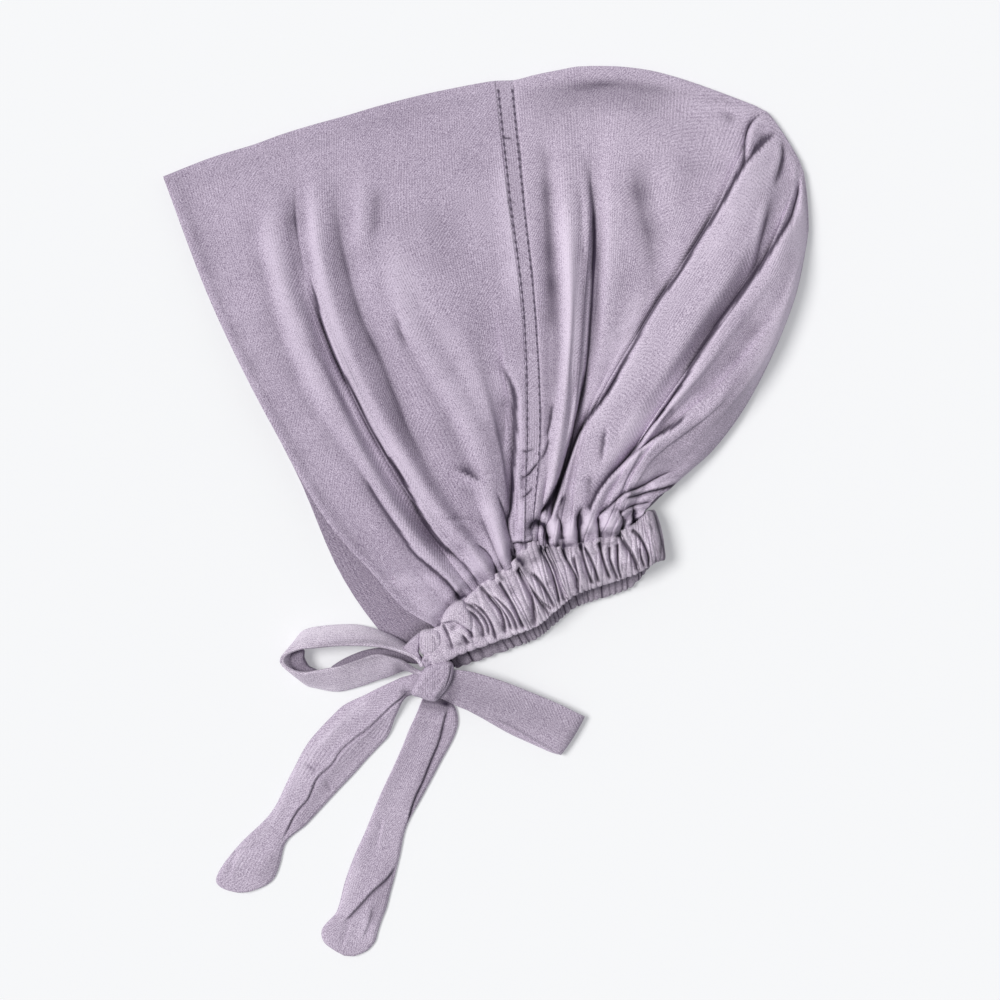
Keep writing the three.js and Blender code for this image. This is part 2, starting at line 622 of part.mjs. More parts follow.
// What runs into the knot ends at its surface, less the gap.
function endedAtKnot(geometry) {
  const whole = manifoldFrom(geometry).subtract(manifoldFrom(knotBody(pieceGap)));
  const parts = whole.decompose().sort((a, b) => b.volume() - a.volume());
  return geometryFrom(parts[0]);
}

const cloths = {
  front: { color: 0xb3a7b8, roughness: 0.92, metalness: 0 },
  back: { color: 0xaea1b3, roughness: 0.92, metalness: 0 },
  seam: { color: 0xa99cae, roughness: 0.9, metalness: 0 },
  casing: { color: 0xa598ab, roughness: 0.92, metalness: 0 },
  tie: { color: 0xb4a8b9, roughness: 0.9, metalness: 0 },
};

function piece(name, geometry, finish) {
  geometry.computeVertexNormals();
  const mesh = new THREE.Mesh(geometry, new THREE.MeshStandardMaterial(finish));
  mesh.name = name;
  return mesh;
}

const cap = new THREE.Group();
cap.add(piece('front_panel', frontPanel(), cloths.front));
cap.add(piece('crown_seam', crownSeam(), cloths.seam));
cap.add(piece('back_panel', backPanel(), cloths.back));
cap.add(piece('neck_casing', endedAtKnot(neckCasing()), cloths.casing));
cap.add(piece('bow_knot', knotBody(0), cloths.tie));
cap.add(piece('bow_loop_left', endedAtKnot(stripFrom(loopLeftRows, loopLeftLength)), cloths.tie));
cap.add(piece('bow_loop_right', endedAtKnot(stripFrom(loopRightRows, loopRightLength)), cloths.tie));
cap.add(piece('tie_tail_left', endedAtKnot(stripFrom(tailLeftRows, tailLeftLength)), cloths.tie));
cap.add(piece('tie_tail_right', endedAtKnot(stripFrom(tailRightRows, tailRightLength)), cloths.tie));

// The origin lies under the middle of the whole cap, on the surface.
const bounds = new THREE.Box3().setFromObject(cap);
const middle = bounds.getCenter(new THREE.Vector3());
cap.position.set(-middle.x, -middle.y, -bounds.min.z);

export default cap;
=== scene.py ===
import bpy
import math
import numpy as np
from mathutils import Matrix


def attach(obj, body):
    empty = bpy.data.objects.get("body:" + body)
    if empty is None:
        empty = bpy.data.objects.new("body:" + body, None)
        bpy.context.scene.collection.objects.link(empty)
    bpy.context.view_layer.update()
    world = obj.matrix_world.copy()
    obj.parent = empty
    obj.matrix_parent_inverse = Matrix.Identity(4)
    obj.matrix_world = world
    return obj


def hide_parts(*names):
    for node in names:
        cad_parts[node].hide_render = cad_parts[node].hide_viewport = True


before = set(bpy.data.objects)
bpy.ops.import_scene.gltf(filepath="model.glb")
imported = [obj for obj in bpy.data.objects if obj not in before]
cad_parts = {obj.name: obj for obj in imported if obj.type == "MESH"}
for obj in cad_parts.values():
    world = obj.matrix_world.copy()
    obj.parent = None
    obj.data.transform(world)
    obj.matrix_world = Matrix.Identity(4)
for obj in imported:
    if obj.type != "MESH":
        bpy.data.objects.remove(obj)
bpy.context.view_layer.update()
rng = np.random.default_rng(12)

# the cap's own measures in millimetres, as in the part's source
cap = {"length": 278.6, "depth": 261.4, "hollow": 16.0, "wall": 1.2, "roll": 1.9, "neckClear": 0.5,
       "faceShowX": 14.0, "faceShowY": 8.0, "lowerShow": 5.6, "reach": 3.2, "room": 0.56, "turn": 0.36}
shift = np.array((-139.4215, 192.5546, 0.0))  # from the cap's own corner to the part's frame

ribColumns = ("name", "x0", "y0", "x1", "y1", "x2", "y2", "x3", "y3", "neck", "z1", "z2", "z3", "z4")
ribs = [  # fold lines from the crown to the casing, as shares of the cap's length, depth and hollow
    ('face_edge', 0.0, 0.184, 0.076, 0.393, 0.168, 0.59, 0.276, 0.781, 0.0, 0.34, 0.55, 0.55, 0.62),
    ('front_band', 0.074, 0.153, 0.125, 0.359, 0.213, 0.556, 0.315, 0.748, 0.045, 0.6, 0.72, 0.68, 0.66),
    ('first_ridge', 0.144, 0.13, 0.179, 0.326, 0.256, 0.523, 0.349, 0.717, 0.09, 0.8, 0.88, 0.86, 0.8),
    ('main_crease', 0.188, 0.113, 0.218, 0.317, 0.282, 0.51, 0.373, 0.692, 0.14, 0.76, 0.74, 0.68, 0.66),
    ('second_ridge', 0.231, 0.099, 0.247, 0.308, 0.306, 0.5, 0.398, 0.681, 0.195, 0.9, 0.94, 0.9, 0.84),
    ('second_crease', 0.282, 0.084, 0.282, 0.286, 0.343, 0.482, 0.423, 0.664, 0.24, 0.82, 0.78, 0.68, 0.64),
    ('third_ridge', 0.329, 0.069, 0.318, 0.268, 0.39, 0.451, 0.481, 0.62, 0.28, 0.92, 0.97, 0.9, 0.82),
    ('front_mid', 0.406, 0.048, 0.41, 0.243, 0.457, 0.434, 0.515, 0.618, 0.315, 0.94, 0.97, 0.86, 0.72),
    ('seam_crease', 0.475, 0.033, 0.492, 0.227, 0.517, 0.421, 0.545, 0.612, 0.35, 0.91, 0.9, 0.78, 0.66),
    ('seam_left', 0.515, 0.026, 0.534, 0.22, 0.556, 0.411, 0.562, 0.605, 0.378, 0.94, 0.98, 0.92, 0.8),
    ('seam_right', 0.542, 0.025, 0.559, 0.219, 0.577, 0.41, 0.585, 0.604, 0.422, 0.94, 0.98, 0.92, 0.8),
    ('soft_valley', 0.577, 0.016, 0.591, 0.207, 0.6, 0.4, 0.6, 0.599, 0.452, 0.88, 0.9, 0.84, 0.64),
    ('back_ridge', 0.614, 0.008, 0.623, 0.202, 0.628, 0.396, 0.616, 0.592, 0.482, 0.96, 1.02, 0.96, 0.84),
    ('back_crease', 0.653, 0.002, 0.66, 0.207, 0.65, 0.396, 0.633, 0.592, 0.512, 0.86, 0.84, 0.76, 0.66),
    ('back_slope', 0.715, 0.003, 0.694, 0.201, 0.685, 0.393, 0.642, 0.594, 0.542, 0.93, 0.9, 0.74, 0.8),
    ('back_mid', 0.799, 0.021, 0.781, 0.211, 0.731, 0.403, 0.651, 0.595, 0.575, 0.86, 0.8, 0.66, 0.66),
    ('flap_one', 0.926, 0.072, 0.855, 0.25, 0.756, 0.418, 0.66, 0.599, 0.61, 0.92, 0.94, 0.86, 0.8),
    ('flap_one_face', 0.961, 0.113, 0.91, 0.276, 0.815, 0.439, 0.71, 0.605, 0.655, 0.98, 1.06, 1.0, 0.84),
    ('flap_two', 0.988, 0.166, 0.932, 0.326, 0.838, 0.472, 0.739, 0.62, 0.7, 0.84, 0.88, 0.86, 0.76),
    ('flap_two_face', 0.997, 0.215, 0.952, 0.349, 0.855, 0.487, 0.745, 0.627, 0.735, 0.86, 0.9, 0.84, 0.66),
    ('flap_three', 0.998, 0.281, 0.96, 0.388, 0.864, 0.525, 0.753, 0.635, 0.75, 0.78, 0.86, 0.86, 0.8),
    ('nape_face', 0.977, 0.388, 0.931, 0.482, 0.855, 0.569, 0.755, 0.655, 0.775, 0.7, 0.84, 0.84, 0.84),
    ('nape_low', 0.912, 0.544, 0.869, 0.581, 0.818, 0.625, 0.753, 0.676, 0.8, 0.56, 0.72, 0.74, 0.68),
    ('nape_wedge', 0.852, 0.634, 0.823, 0.65, 0.79, 0.668, 0.75, 0.696, 0.825, 0.46, 0.56, 0.62, 0.66),
    ('nape_band', 0.815, 0.67, 0.799, 0.681, 0.779, 0.692, 0.753, 0.707, 0.84, 0.42, 0.54, 0.66, 0.72),
    ('nape_end', 0.789, 0.694, 0.782, 0.701, 0.772, 0.707, 0.761, 0.715, 0.95, 0.36, 0.44, 0.54, 0.6),
]
pleatColumns = ("rib", "step", "lap", "from", "full", "fade")
pleats = [  # fold lines where the cloth laps back over itself
    ('main_crease', 0.24, 0.35, 0.2, 0.45, 0.86),
    ('seam_crease', 0.2, 0.2, 0.42, 0.66, 0.86),
    ('back_crease', -0.16, 0.0, 0.12, 0.35, 0.8),
    ('flap_one', 0.28, 0.9, 0.02, 0.16, 0.84),
    ('flap_two', 0.26, 0.8, 0.04, 0.2, 0.84),
    ('flap_three', 0.2, 0.6, 0.3, 0.6, 0.84),
]
casingEdges = [  # top x, top y, low x, low y of the casing's upper half, front to nape
    (0.429, 0.923, 0.454, 0.974),
    (0.491, 0.857, 0.54, 0.941),
    (0.534, 0.826, 0.58, 0.924),
    (0.573, 0.785, 0.608, 0.9),
    (0.614, 0.794, 0.64, 0.873),
    (0.671, 0.78, 0.677, 0.859),
    (0.722, 0.76, 0.73, 0.84),
    (0.747, 0.737, 0.764, 0.819),
]
casingLead = [  # the same for its end beside the knot, before the first of those
    (0.406, 0.981, 0.428, 0.991),
    (0.4, 0.954, 0.438, 0.984),
    (0.412, 0.934, 0.447, 0.98),
]


def table(columns, rows):
    return [dict(zip(columns, row)) for row in rows]


def smooth(low, high, value):
    t = np.clip((np.asarray(value, float) - low) / (high - low), 0, 1)
    return t * t * (3 - 2 * t)


def lerp(a, b, t):
    return a + (b - a) * t


def unit(v):
    return v / np.maximum(np.linalg.norm(v, axis=-1, keepdims=True), 1e-9)


def lengths(points):  # how far along their line each of the points lies
    return np.concatenate([[0], np.cumsum(np.linalg.norm(np.diff(points, axis=0), axis=1))])


def through(places, values, at):  # a smooth curve through rising places that never swings past them
    places = np.asarray(places, float)
    values = np.asarray(values, float)
    flat = values.reshape(len(places), -1)
    steps = np.diff(places)[:, None]
    slopes = np.diff(flat, axis=0) / steps
    tangents = np.zeros_like(flat)
    tangents[0], tangents[-1] = slopes[0], slopes[-1]
    before, after = slopes[:-1], slopes[1:]
    size = np.minimum(np.abs(before + after) / 2, 3 * np.minimum(np.abs(before), np.abs(after)))
    tangents[1:-1] = np.where(before * after <= 0, 0, np.sign(before) * size)
    at = np.atleast_1d(np.asarray(at, float))
    i = np.clip(np.searchsorted(places, at, side="left") - 1, 0, len(places) - 2)
    width = steps[i]
    u = np.clip((at[:, None] - places[i][:, None]) / width, 0, 1)
    a, b = flat[i], flat[i + 1]
    m, n = tangents[i] * width, tangents[i + 1] * width
    out = a + u * m + u * u * (3 * (b - a) - 2 * m - n) + u ** 3 * (2 * (a - b) + m + n)
    return out.reshape((len(at),) + values.shape[1:])


planSize = np.array([cap["length"], -cap["depth"]])
casingTable = np.array(casingEdges)
casingPlaces = np.linspace(0, 1, len(casingEdges))


def casingPoints(share):  # top and low edges of the casing in plan
    p = through(casingPlaces, casingTable, share)
    return p[:, :2] * planSize, p[:, 2:] * planSize


def neckPoints(share):
    top, low = casingPoints(share)
    return top + unit(top - low) * cap["neckClear"]


levels = [0, 0.25, 0.5, 0.75, 1]
ribTable = table(ribColumns, ribs)
pleatOf = {row["rib"]: row for row in table(pleatColumns, pleats)}
ribLines = np.zeros((5, len(ribs), 3))
for i, rib in enumerate(ribTable):
    for k in range(4):
        ribLines[k, i, :2] = rib["x%d" % k] * cap["length"], -rib["y%d" % k] * cap["depth"]
    ribLines[4, i, :2] = neckPoints(rib["neck"])[0]
    ribLines[0, i, 2] = cap["wall"] / 2 + 2 * cap["roll"]
    for k in range(1, 5):
        ribLines[k, i, 2] = cap["wall"] + rib["z%d" % k] * cap["hollow"]


def rowPoints(t, folded):  # the fold lines' points at one share of the way; a pleat gives four
    plain = through(levels, ribLines, t)[0]
    points = []
    for i, rib in enumerate(ribTable):
        pleat = pleatOf.get(rib["name"])
        if pleat is None:
            points.append(plain[i])
            continue
        across = plain[i + 1] - plain[i - 1]
        across[2] = 0
        across = unit(across)
        room = min(np.linalg.norm(plain[i + 1] - plain[i]), np.linalg.norm(plain[i] - plain[i - 1]))
        reach = min(cap["reach"], room * cap["room"])
        opened = folded * smooth(pleat["from"], pleat["full"], t) * (1 - smooth(pleat["fade"], 1.02, t))
        lap = lerp(-1 / 3, pleat["lap"] / 2, opened)
        step = pleat["step"] * cap["hollow"] * opened * reach / cap["reach"]
        turns = ((-1, -0.5), (lap, -cap["turn"]), (-lap, cap["turn"]), (1, 0.5))
        for along, up in turns:
            points.append(plain[i] + across * along * reach + np.array([0, 0, up * step]))
    return np.array(points)


spans = [np.linalg.norm(np.diff(row, axis=0), axis=1) for row in (rowPoints(0.1, 1), rowPoints(0.45, 1))]
ribPlaces = np.concatenate([[0], np.cumsum((spans[0] + spans[1]) / 2)])
ribIndex = {}
for rib in ribTable:
    ribIndex[rib["name"]] = sum(4 if name in pleatOf else 1 for name in ribIndex)
lastPlace = ribPlaces[-1]
neckShares = through([ribPlaces[ribIndex[r["name"]]] for r in ribTable], [r["neck"] for r in ribTable], ribPlaces)

lower = {"straightFrom": 0.15, "straightTo": 0.5, "neckFrom": 0.4, "neckTo": 0.9, "showFrom": 0.58, "showTo": 1.03,
         "showAcross": 0.3, "show": 1.15, "shortFrom": 0.65, "endFrom": 0.8, "endHeight": 2.0}
rowCrowd = 1.3  # rows lie closer towards the casing


def layer(places, folded, count=161):  # the layer's points for a fan of shares, from crown to casing
    return np.array([through(ribPlaces, rowPoints(t, folded), places) for t in np.linspace(0, 1, count)])


def sampled(fan, t):
    at = np.clip(t, 0, 1) * (len(fan) - 1)
    i = np.minimum(at.astype(int), len(fan) - 2)
    column = np.arange(fan.shape[1])
    return lerp(fan[i, column], fan[i + 1, column], (at - i)[:, None])


def clothGrid(places, upperRows, lowerRows, rollRows):  # lower layer, roll over the crown, upper layer
    upper, plain = layer(places, 1), layer(places, 0)
    steps = np.diff(plain[::20, :, :2], axis=0)
    length = np.linalg.norm(steps, axis=2).sum(axis=0)
    start = np.minimum(cap["roll"] / length, 0.5)
    share = places / lastPlace
    neckShare = lerp(share, 1, smooth(lower["neckFrom"], lower["neckTo"], share))
    neck = neckPoints(neckShare)
    grid, ways = [], []
    for i in range(lowerRows, 0, -1):
        t = lerp(start, 1, i / lowerRows)
        point = sampled(plain, t)
        straight = lerp(plain[0, :, :2], neck, t[:, None])
        point[:, :2] = lerp(point[:, :2], straight, smooth(lower["straightFrom"], lower["straightTo"], share)[:, None])
        shown = 1 - smooth(0, lower["showAcross"], share)
        out = smooth(lower["showFrom"], lower["showTo"], t) * shown * lower["show"]
        short = 1 - smooth(lower["shortFrom"], 1, neckShare)
        point[:, 0] -= cap["faceShowX"] * out
        point[:, 1] -= cap["faceShowY"] * out + cap["lowerShow"] * t * t * short
        point[:, 2] = lerp(cap["wall"] / 2, lower["endHeight"], smooth(lower["endFrom"], 1, t))
        grid.append(point)
        ways.append(-t)
    outline = upper[0]
    inward = sampled(upper, np.full(len(places), 0.08)) - outline
    inward[:, 2] = 0
    inward = unit(inward)
    for i in range(rollRows + 1):
        angle = lerp(-math.pi / 2, math.pi / 2, i / rollRows)
        point = outline + inward * cap["roll"] * (1 - math.cos(angle))
        point[:, 2] = cap["wall"] / 2 + cap["roll"] * (1 + math.sin(angle))
        grid.append(point)
        ways.append(start * i / rollRows if i * 2 > rollRows else -start * (1 - i / rollRows))
    for i in range(1, upperRows + 1):
        t = lerp(start, 1, 1 - (1 - i / upperRows) ** rowCrowd)
        grid.append(sampled(upper, t))
        ways.append(t)
    return np.array(grid), np.array(ways)


photoMiddle, perPlace = (486, 511.5), 0.43  # places are counted as in the photo, from its top left, 0.43 mm each
strokeColumns = ("name", "points", "leftUp", "leftWide", "rightUp", "rightWide", "turn", "fadeIn", "fadeOut")


def placeOf(text):  # millimetres in the part's frame
    x, y = map(float, text.split(","))
    return round((x - photoMiddle[0]) * perPlace, 1), round((photoMiddle[1] - y) * perPlace, 1)


def rowsOf(text):  # a line that starts with a space carries on the one before it
    rows = text.replace("\n ", " ").strip().splitlines()
    return [[part.split() for part in row.split("|")] for row in rows]


def strokeTable(text):
    rows = []
    for (name, kind, *points), numbers in rowsOf(text):
        v = [float(number) for number in numbers]
        if kind == "d":  # on a way down the photo its left side is the stroke's right
            v[:4] = v[2:4] + v[:2]
        rows.append((name, [placeOf(p) for p in points], *v))
    return table(strokeColumns, rows)


# Creases and swells brushed on in plan. Each has its name, d for a way down the photo or a for one across it, its
# places, then height and width of its left and right side (d) or of its upper and lower side (a), how gently one
# side turns into the other, and the fades at its start and end. All were set against the photo.
strokes = strokeTable("""
bright_fold d 276,180 271,230 280,275 290,315 303,355 320,390 346,432 374,470 387,495 402,520 412,540 426,556 443,566
  456,576 463,588 | 1.5 5 1.6 6.2 .6 .2 .1
main_crease_top d 296,180 297,215 301,245 306,270 313,295 | -1.1 5 -.3 2 .8 .4 .5
main_crease_a d 309,270 315,287 319,300 324,320 331,340 339,360 349,380 358,398 | -1.9 2.4 1 2.4 .5 .35 .3
main_crease_b d 331,340 339,360 349,380 358,398 371,425 384,447 395,463 406,480 416,500 | -2.2 2.2 1 2.4 .5 .25 .25
main_crease_c d 384,447 395,463 406,480 416,500 427,520 441,540 452,550 460,558 | -2 4.2 1 2.6 .5 .3 .12
main_crease_deep d 315,287 319,300 324,320 331,340 339,360 349,380 358,398 371,425 384,447 395,463 406,480 416,500
  427,520 441,540 452,550 460,558 468,566 474,574 481,584 | -1.6 1.3 .2 1.2 .45 .15 .04
second_ridge d 312,160 313,200 316,240 322,280 332,320 346,360 364,398 382,428 398,455 412,478 424,500 436,520
  450,535 468,543 480,553 486,566 490,578 | 1.1 3 1.2 4.4 .6 .2 .1
low_valley d 350,450 370,482 384,503 396,521 406,536 416,551 428,562 441,573 452,584 459,594 463,600 | -1.3 4.5 .5 2
  .6 .45 .03
low_valley_end d 416,551 428,562 441,573 452,584 459,594 463,600 | -1.6 1.8 .2 1.4 .5 .45 .02
corner_hole d 457,588 461,594 464,599 | -1.6 1.8 -1.4 1.6 .6 .4 .1
middle_valley d 336,165 338,200 343,240 352,280 364,320 383,360 398,400 410,430 421,452 431,475 438,490 446,508 |
  -1.2 5 -.8 4.6 1.2 .3 .3
middle_bright d 362,170 362,220 357,258 | .8 3 .8 3.4 .6 .4 .35
middle_dark d 382,180 378,225 372,250 | -.5 4.6 -.4 4 .8 .4 .4
small_dark d 396,305 403,330 412,356 | -.35 3.6 .3 3 .6 .45 .45
third_ridge d 388,215 394,260 402,300 418,335 438,370 460,405 476,440 486,470 488,500 494,525 502,548 508,570 | 1.3
  5.6 1.2 4.6 .6 .3 .15
dark_patch d 296,170 299,210 304,250 | -.6 5 -.4 4 1 .45 .45
crease_fill d 293,280 304,318 318,352 334,381 349,408 362,433 374,455 | .5 4 1.2 3.6 2 .3 .3
crease_fill_dip d 304,318 318,352 335,381 350,408 363,433 | -.5 2.6 -.4 2.6 .8 .3 .3
drag_a a 448,468 462,473 475,480 492,489 | -.35 3.6 .4 3 .6 .45 .4
drag_b a 436,526 450,521 461,520 474,523 484,530 | -.1 3 .3 3 .8 .4 .4
seam_side_crease d 495,345 505,368 514,385 518,400 518,430 516,460 514,490 512,510 509,525 513,545 519,566 | -2.4 3
  .9 2.4 1.2 .35 .03
seam_side_shade d 500,380 506,400 506,430 504,460 | -1.4 4.2 -1 4.2 .6 .35 .4
seam_side_low d 494,488 499,503 503,515 507,528 511,542 515,555 | -.6 1.4 -1.8 2 .6 .3 .05
fan_crease d 472,541 480,545 487,550 492,557 496,566 500,578 503,583 | -1.9 1.5 -.5 1.4 .5 .3 .02
casing_mouth d 508,540 513,556 520,570 | -3 1.6 -1 1.6 .6 .4 .05
back_valley_a d 543,120 545,180 548,250 550,310 548,370 | -.8 3.2 -.8 4 .6 .35 .35
back_ridge_a d 565,150 568,220 571,280 572,330 568,380 561,430 549,470 537,500 524,524 | 2.2 4.2 2 3.6 .6 .35 .08
deep_valley_top d 575,140 584,175 589,210 590,250 589,300 | .5 2.4 -1.3 4.4 2 .5 .4
deep_valley d 592,200 591,235 590,270 589,300 587,340 583,380 577,405 571,432 564,457 557,480 547,500 538,514 | .8
  2.4 -2.1 5 1 .55 .05
deep_valley_low d 583,345 581,380 577,405 571,432 564,457 557,480 547,500 538,514 | .4 1.4 -2.4 2.6 .4 .3 .04
back_ridge_b d 605,170 609,230 607,280 602,330 598,365 | .7 3.8 .7 4.4 .6 .35 .35
back_valley_b d 634,140 640,200 650,240 657,290 650,320 | -.9 6 -.8 6 1.6 .4 .35
back_ridge_c d 660,140 668,190 670,240 | .6 6 .6 6 .6 .4 .4
ridge_small d 548,430 544,450 536,464 | .6 1.8 -.8 1.8 .6 .4 .4
ridge_small_b d 555,400 550,430 543,447 | -.9 1.8 .5 1.8 .6 .4 .4
flap_one d 782,129 776,134 768,142 758,152 750,161 738,179 727,199 715,219 702,239 690,259 678,279 661,301 648,321
  638,341 625,364 614,385 603,402 590,418 580,434 574,449 567,469 561,486 555,506 551,523 | -2.2 2.4 1 9 .6 .06 .04
flap_one_low d 640,340 625,366 614,387 603,404 590,420 580,436 574,451 567,471 561,488 555,508 550,524 | -2 2.4 0 1.5
  .4 .4 .05
flap_two d 800,168 801,185 799,198 795,213 788,227 779,241 766,262 753,281 738,301 720,325 708,344 696,362 683,385
  670,403 660,417 648,432 636,450 622,466 610,480 | -2.2 3.2 1.2 7 .6 .07 .12
flap_two_deep d 690,374 670,403 660,417 648,432 636,449 622,465 609,479 | -2.4 1.3 0 1.3 .5 .25 .15
flap_three d 694,408 683,420 670,431 655,439 640,450 628,460 617,470 608,480 600,491 594,503 589,514 | -2.4 2.8 1.5
  3.2 .4 .3 .06
flap_two_face d 676,398 664,415 650,431 | -.8 3 -1.4 4 .6 .4 .4
wedge_upper a 676,470 663,476 650,483 636,490 622,496 610,507 598,517 | .7 2.2 -2.6 1.5 .6 .3 .04
wedge_lower a 682,480 665,486 650,490 636,494 622,497 | -2.6 1.5 1 1.8 .5 .25 .15
wedge_dark a 655,484 640,489 626,494 | -1.6 2.2 -1.6 2.2 .6 .4 .3
wedge_rim a 655,502 642,505 630,508 618,516 | .7 1.8 -2.2 1.6 .6 .3 .1
flap_two_tail d 640,465 628,480 612,500 602,512 | .9 2.6 .6 2.6 .6 .4 .3
flap_one_valley d 592,470 589,490 587,503 | -.9 3 -.7 3 .6 .4 .4
flap_one_band d 607,420 604,450 600,470 | -.5 3 .5 3 .8 .4 .4
arch_top d 744,176 745,160 747,143 749,132 754,122 760,116 766,114 772,117 778,124 | .6 3 -1.6 2 .7 .2 .15
arch_pocket d 770,126 764,136 756,148 750,158 | -.7 2.6 -.3 2 1 .4 .4
pinch_a d 712,96 724,106 732,120 736,138 | -.3 4 -.25 3.6 1.6 .45 .45
pinch_c a 700,103 722,103 742,106 760,110 | -.4 2.4 .9 2.6 .6 .4 .3
pinch_d d 716,155 726,170 736,188 | -.3 5 -.3 5 1.4 .45 .45
second_pleat d 781,134 781,146 779,163 773,179 768,192 | .6 3 -.9 2.6 1 .25 .4
edge_ridge d 793,145 797,165 796,190 792,210 | 1 2.2 .8 2.4 .6 .35 .35
flap_ridge d 770,190 764,212 757,240 752,262 742,284 | .8 3 -.5 3.4 1 .35 .35
flap_one_swell d 762,215 738,250 715,285 690,320 665,360 640,400 | 1.2 8 1.2 6 .6 .35 .35
flap_one_crown d 745,185 728,225 700,280 | .5 4 .5 5 .6 .4 .4
outer_ridge d 790,240 770,290 745,340 | .7 4 .7 4 .6 .4 .4
outer_valley d 770,300 745,345 715,390 | -.6 4 -.6 4 .6 .4 .4
outer_ridge_b d 735,375 712,408 690,432 | .7 3.2 .7 3.2 .6 .4 .4
seam_pucker_a a 500,143 507,138 515,141 | .5 1 -.7 1 .6 .4 .4
seam_pucker_b a 504,207 511,203 519,207 | .4 1 -.6 1 .6 .4 .4
seam_pucker_c a 518,477 527,474 534,466 540,460 | .8 1.3 -1.3 1.2 .5 .3 .3
seam_pucker_d a 520,497 527,493 533,485 | .6 1.3 -.9 1.3 .6 .3 .3
seam_pucker_e a 517,449 526,450 536,447 | .4 1.6 -.5 1.6 .6 .3 .3
band_ridge d 512,460 516,480 519,505 519,530 | 0 1.2 .9 2.6 .6 .3 .3
band_foot a 511,543 518,541 526,541 534,538 | .9 1.8 -2.2 1.1 .4 .2 .2
arch_hole d 528,536 530,528 535,522 542,524 546,531 549,542 | -3.2 1.8 -3.2 1.8 .6 .25 .1
arch_fill d 540,532 542,540 546,550 | .9 1.4 .9 1.4 .6 .4 .4
pillow_one_left d 545,522 548,535 550,546 | -2 1.6 .6 2 .6 .3 .1
pillow_gap_a d 567,488 562,503 559,516 562,528 563,540 | -2.2 1.9 -1 1.6 .6 .3 .05
pillow_gap_b d 585,503 580,514 578,524 580,538 582,548 | -3.2 1.6 -2 1.5 .6 .3 .05
pillow_gap_c d 597,512 598,522 600,534 601,542 | -2.8 1.1 -1.4 1.2 .6 .3 .05
pillow_gap_d d 617,510 621,521 619,532 615,540 | .4 1.3 -2.6 1.6 .6 .25 .1
pillow_gap_e d 633,506 631,517 632,529 | .3 1.3 -2.8 2.2 .5 .25 .1
pillow_gap_f d 652,503 651,514 650,526 | .7 1.6 -1.3 1.6 .5 .25 .1
pillow_one d 558,515 556,530 556,545 | 1.6 2.6 1.6 2.6 .6 .35 .3
pillow_two d 571,510 570,525 569,545 | 1.3 2.4 1.3 2.4 .6 .35 .3
pillow_three d 590,508 590,520 591,533 | 1.7 2.8 1.7 2.8 .6 .35 .3
pillow_four d 609,508 609,520 608,533 | 2 3.2 2 3.2 .6 .35 .3
pillow_six d 642,508 643,520 | 1.2 3 1.2 3 .6 .35 .3
corner_swell a 385,598 410,603 440,600 | .7 6 .6 6 .6 .4 .4
corner_lip a 400,614 412,621 426,625 440,626 | .6 2.2 0 2 .6 .3 .3
crown_shade d 600,75 602,90 | -.2 12 -.2 12 .6 .4 .4
crown_fold a 530,96 560,92 620,90 680,97 740,106 | -.25 6 .2 6 4 .4 .4
""")
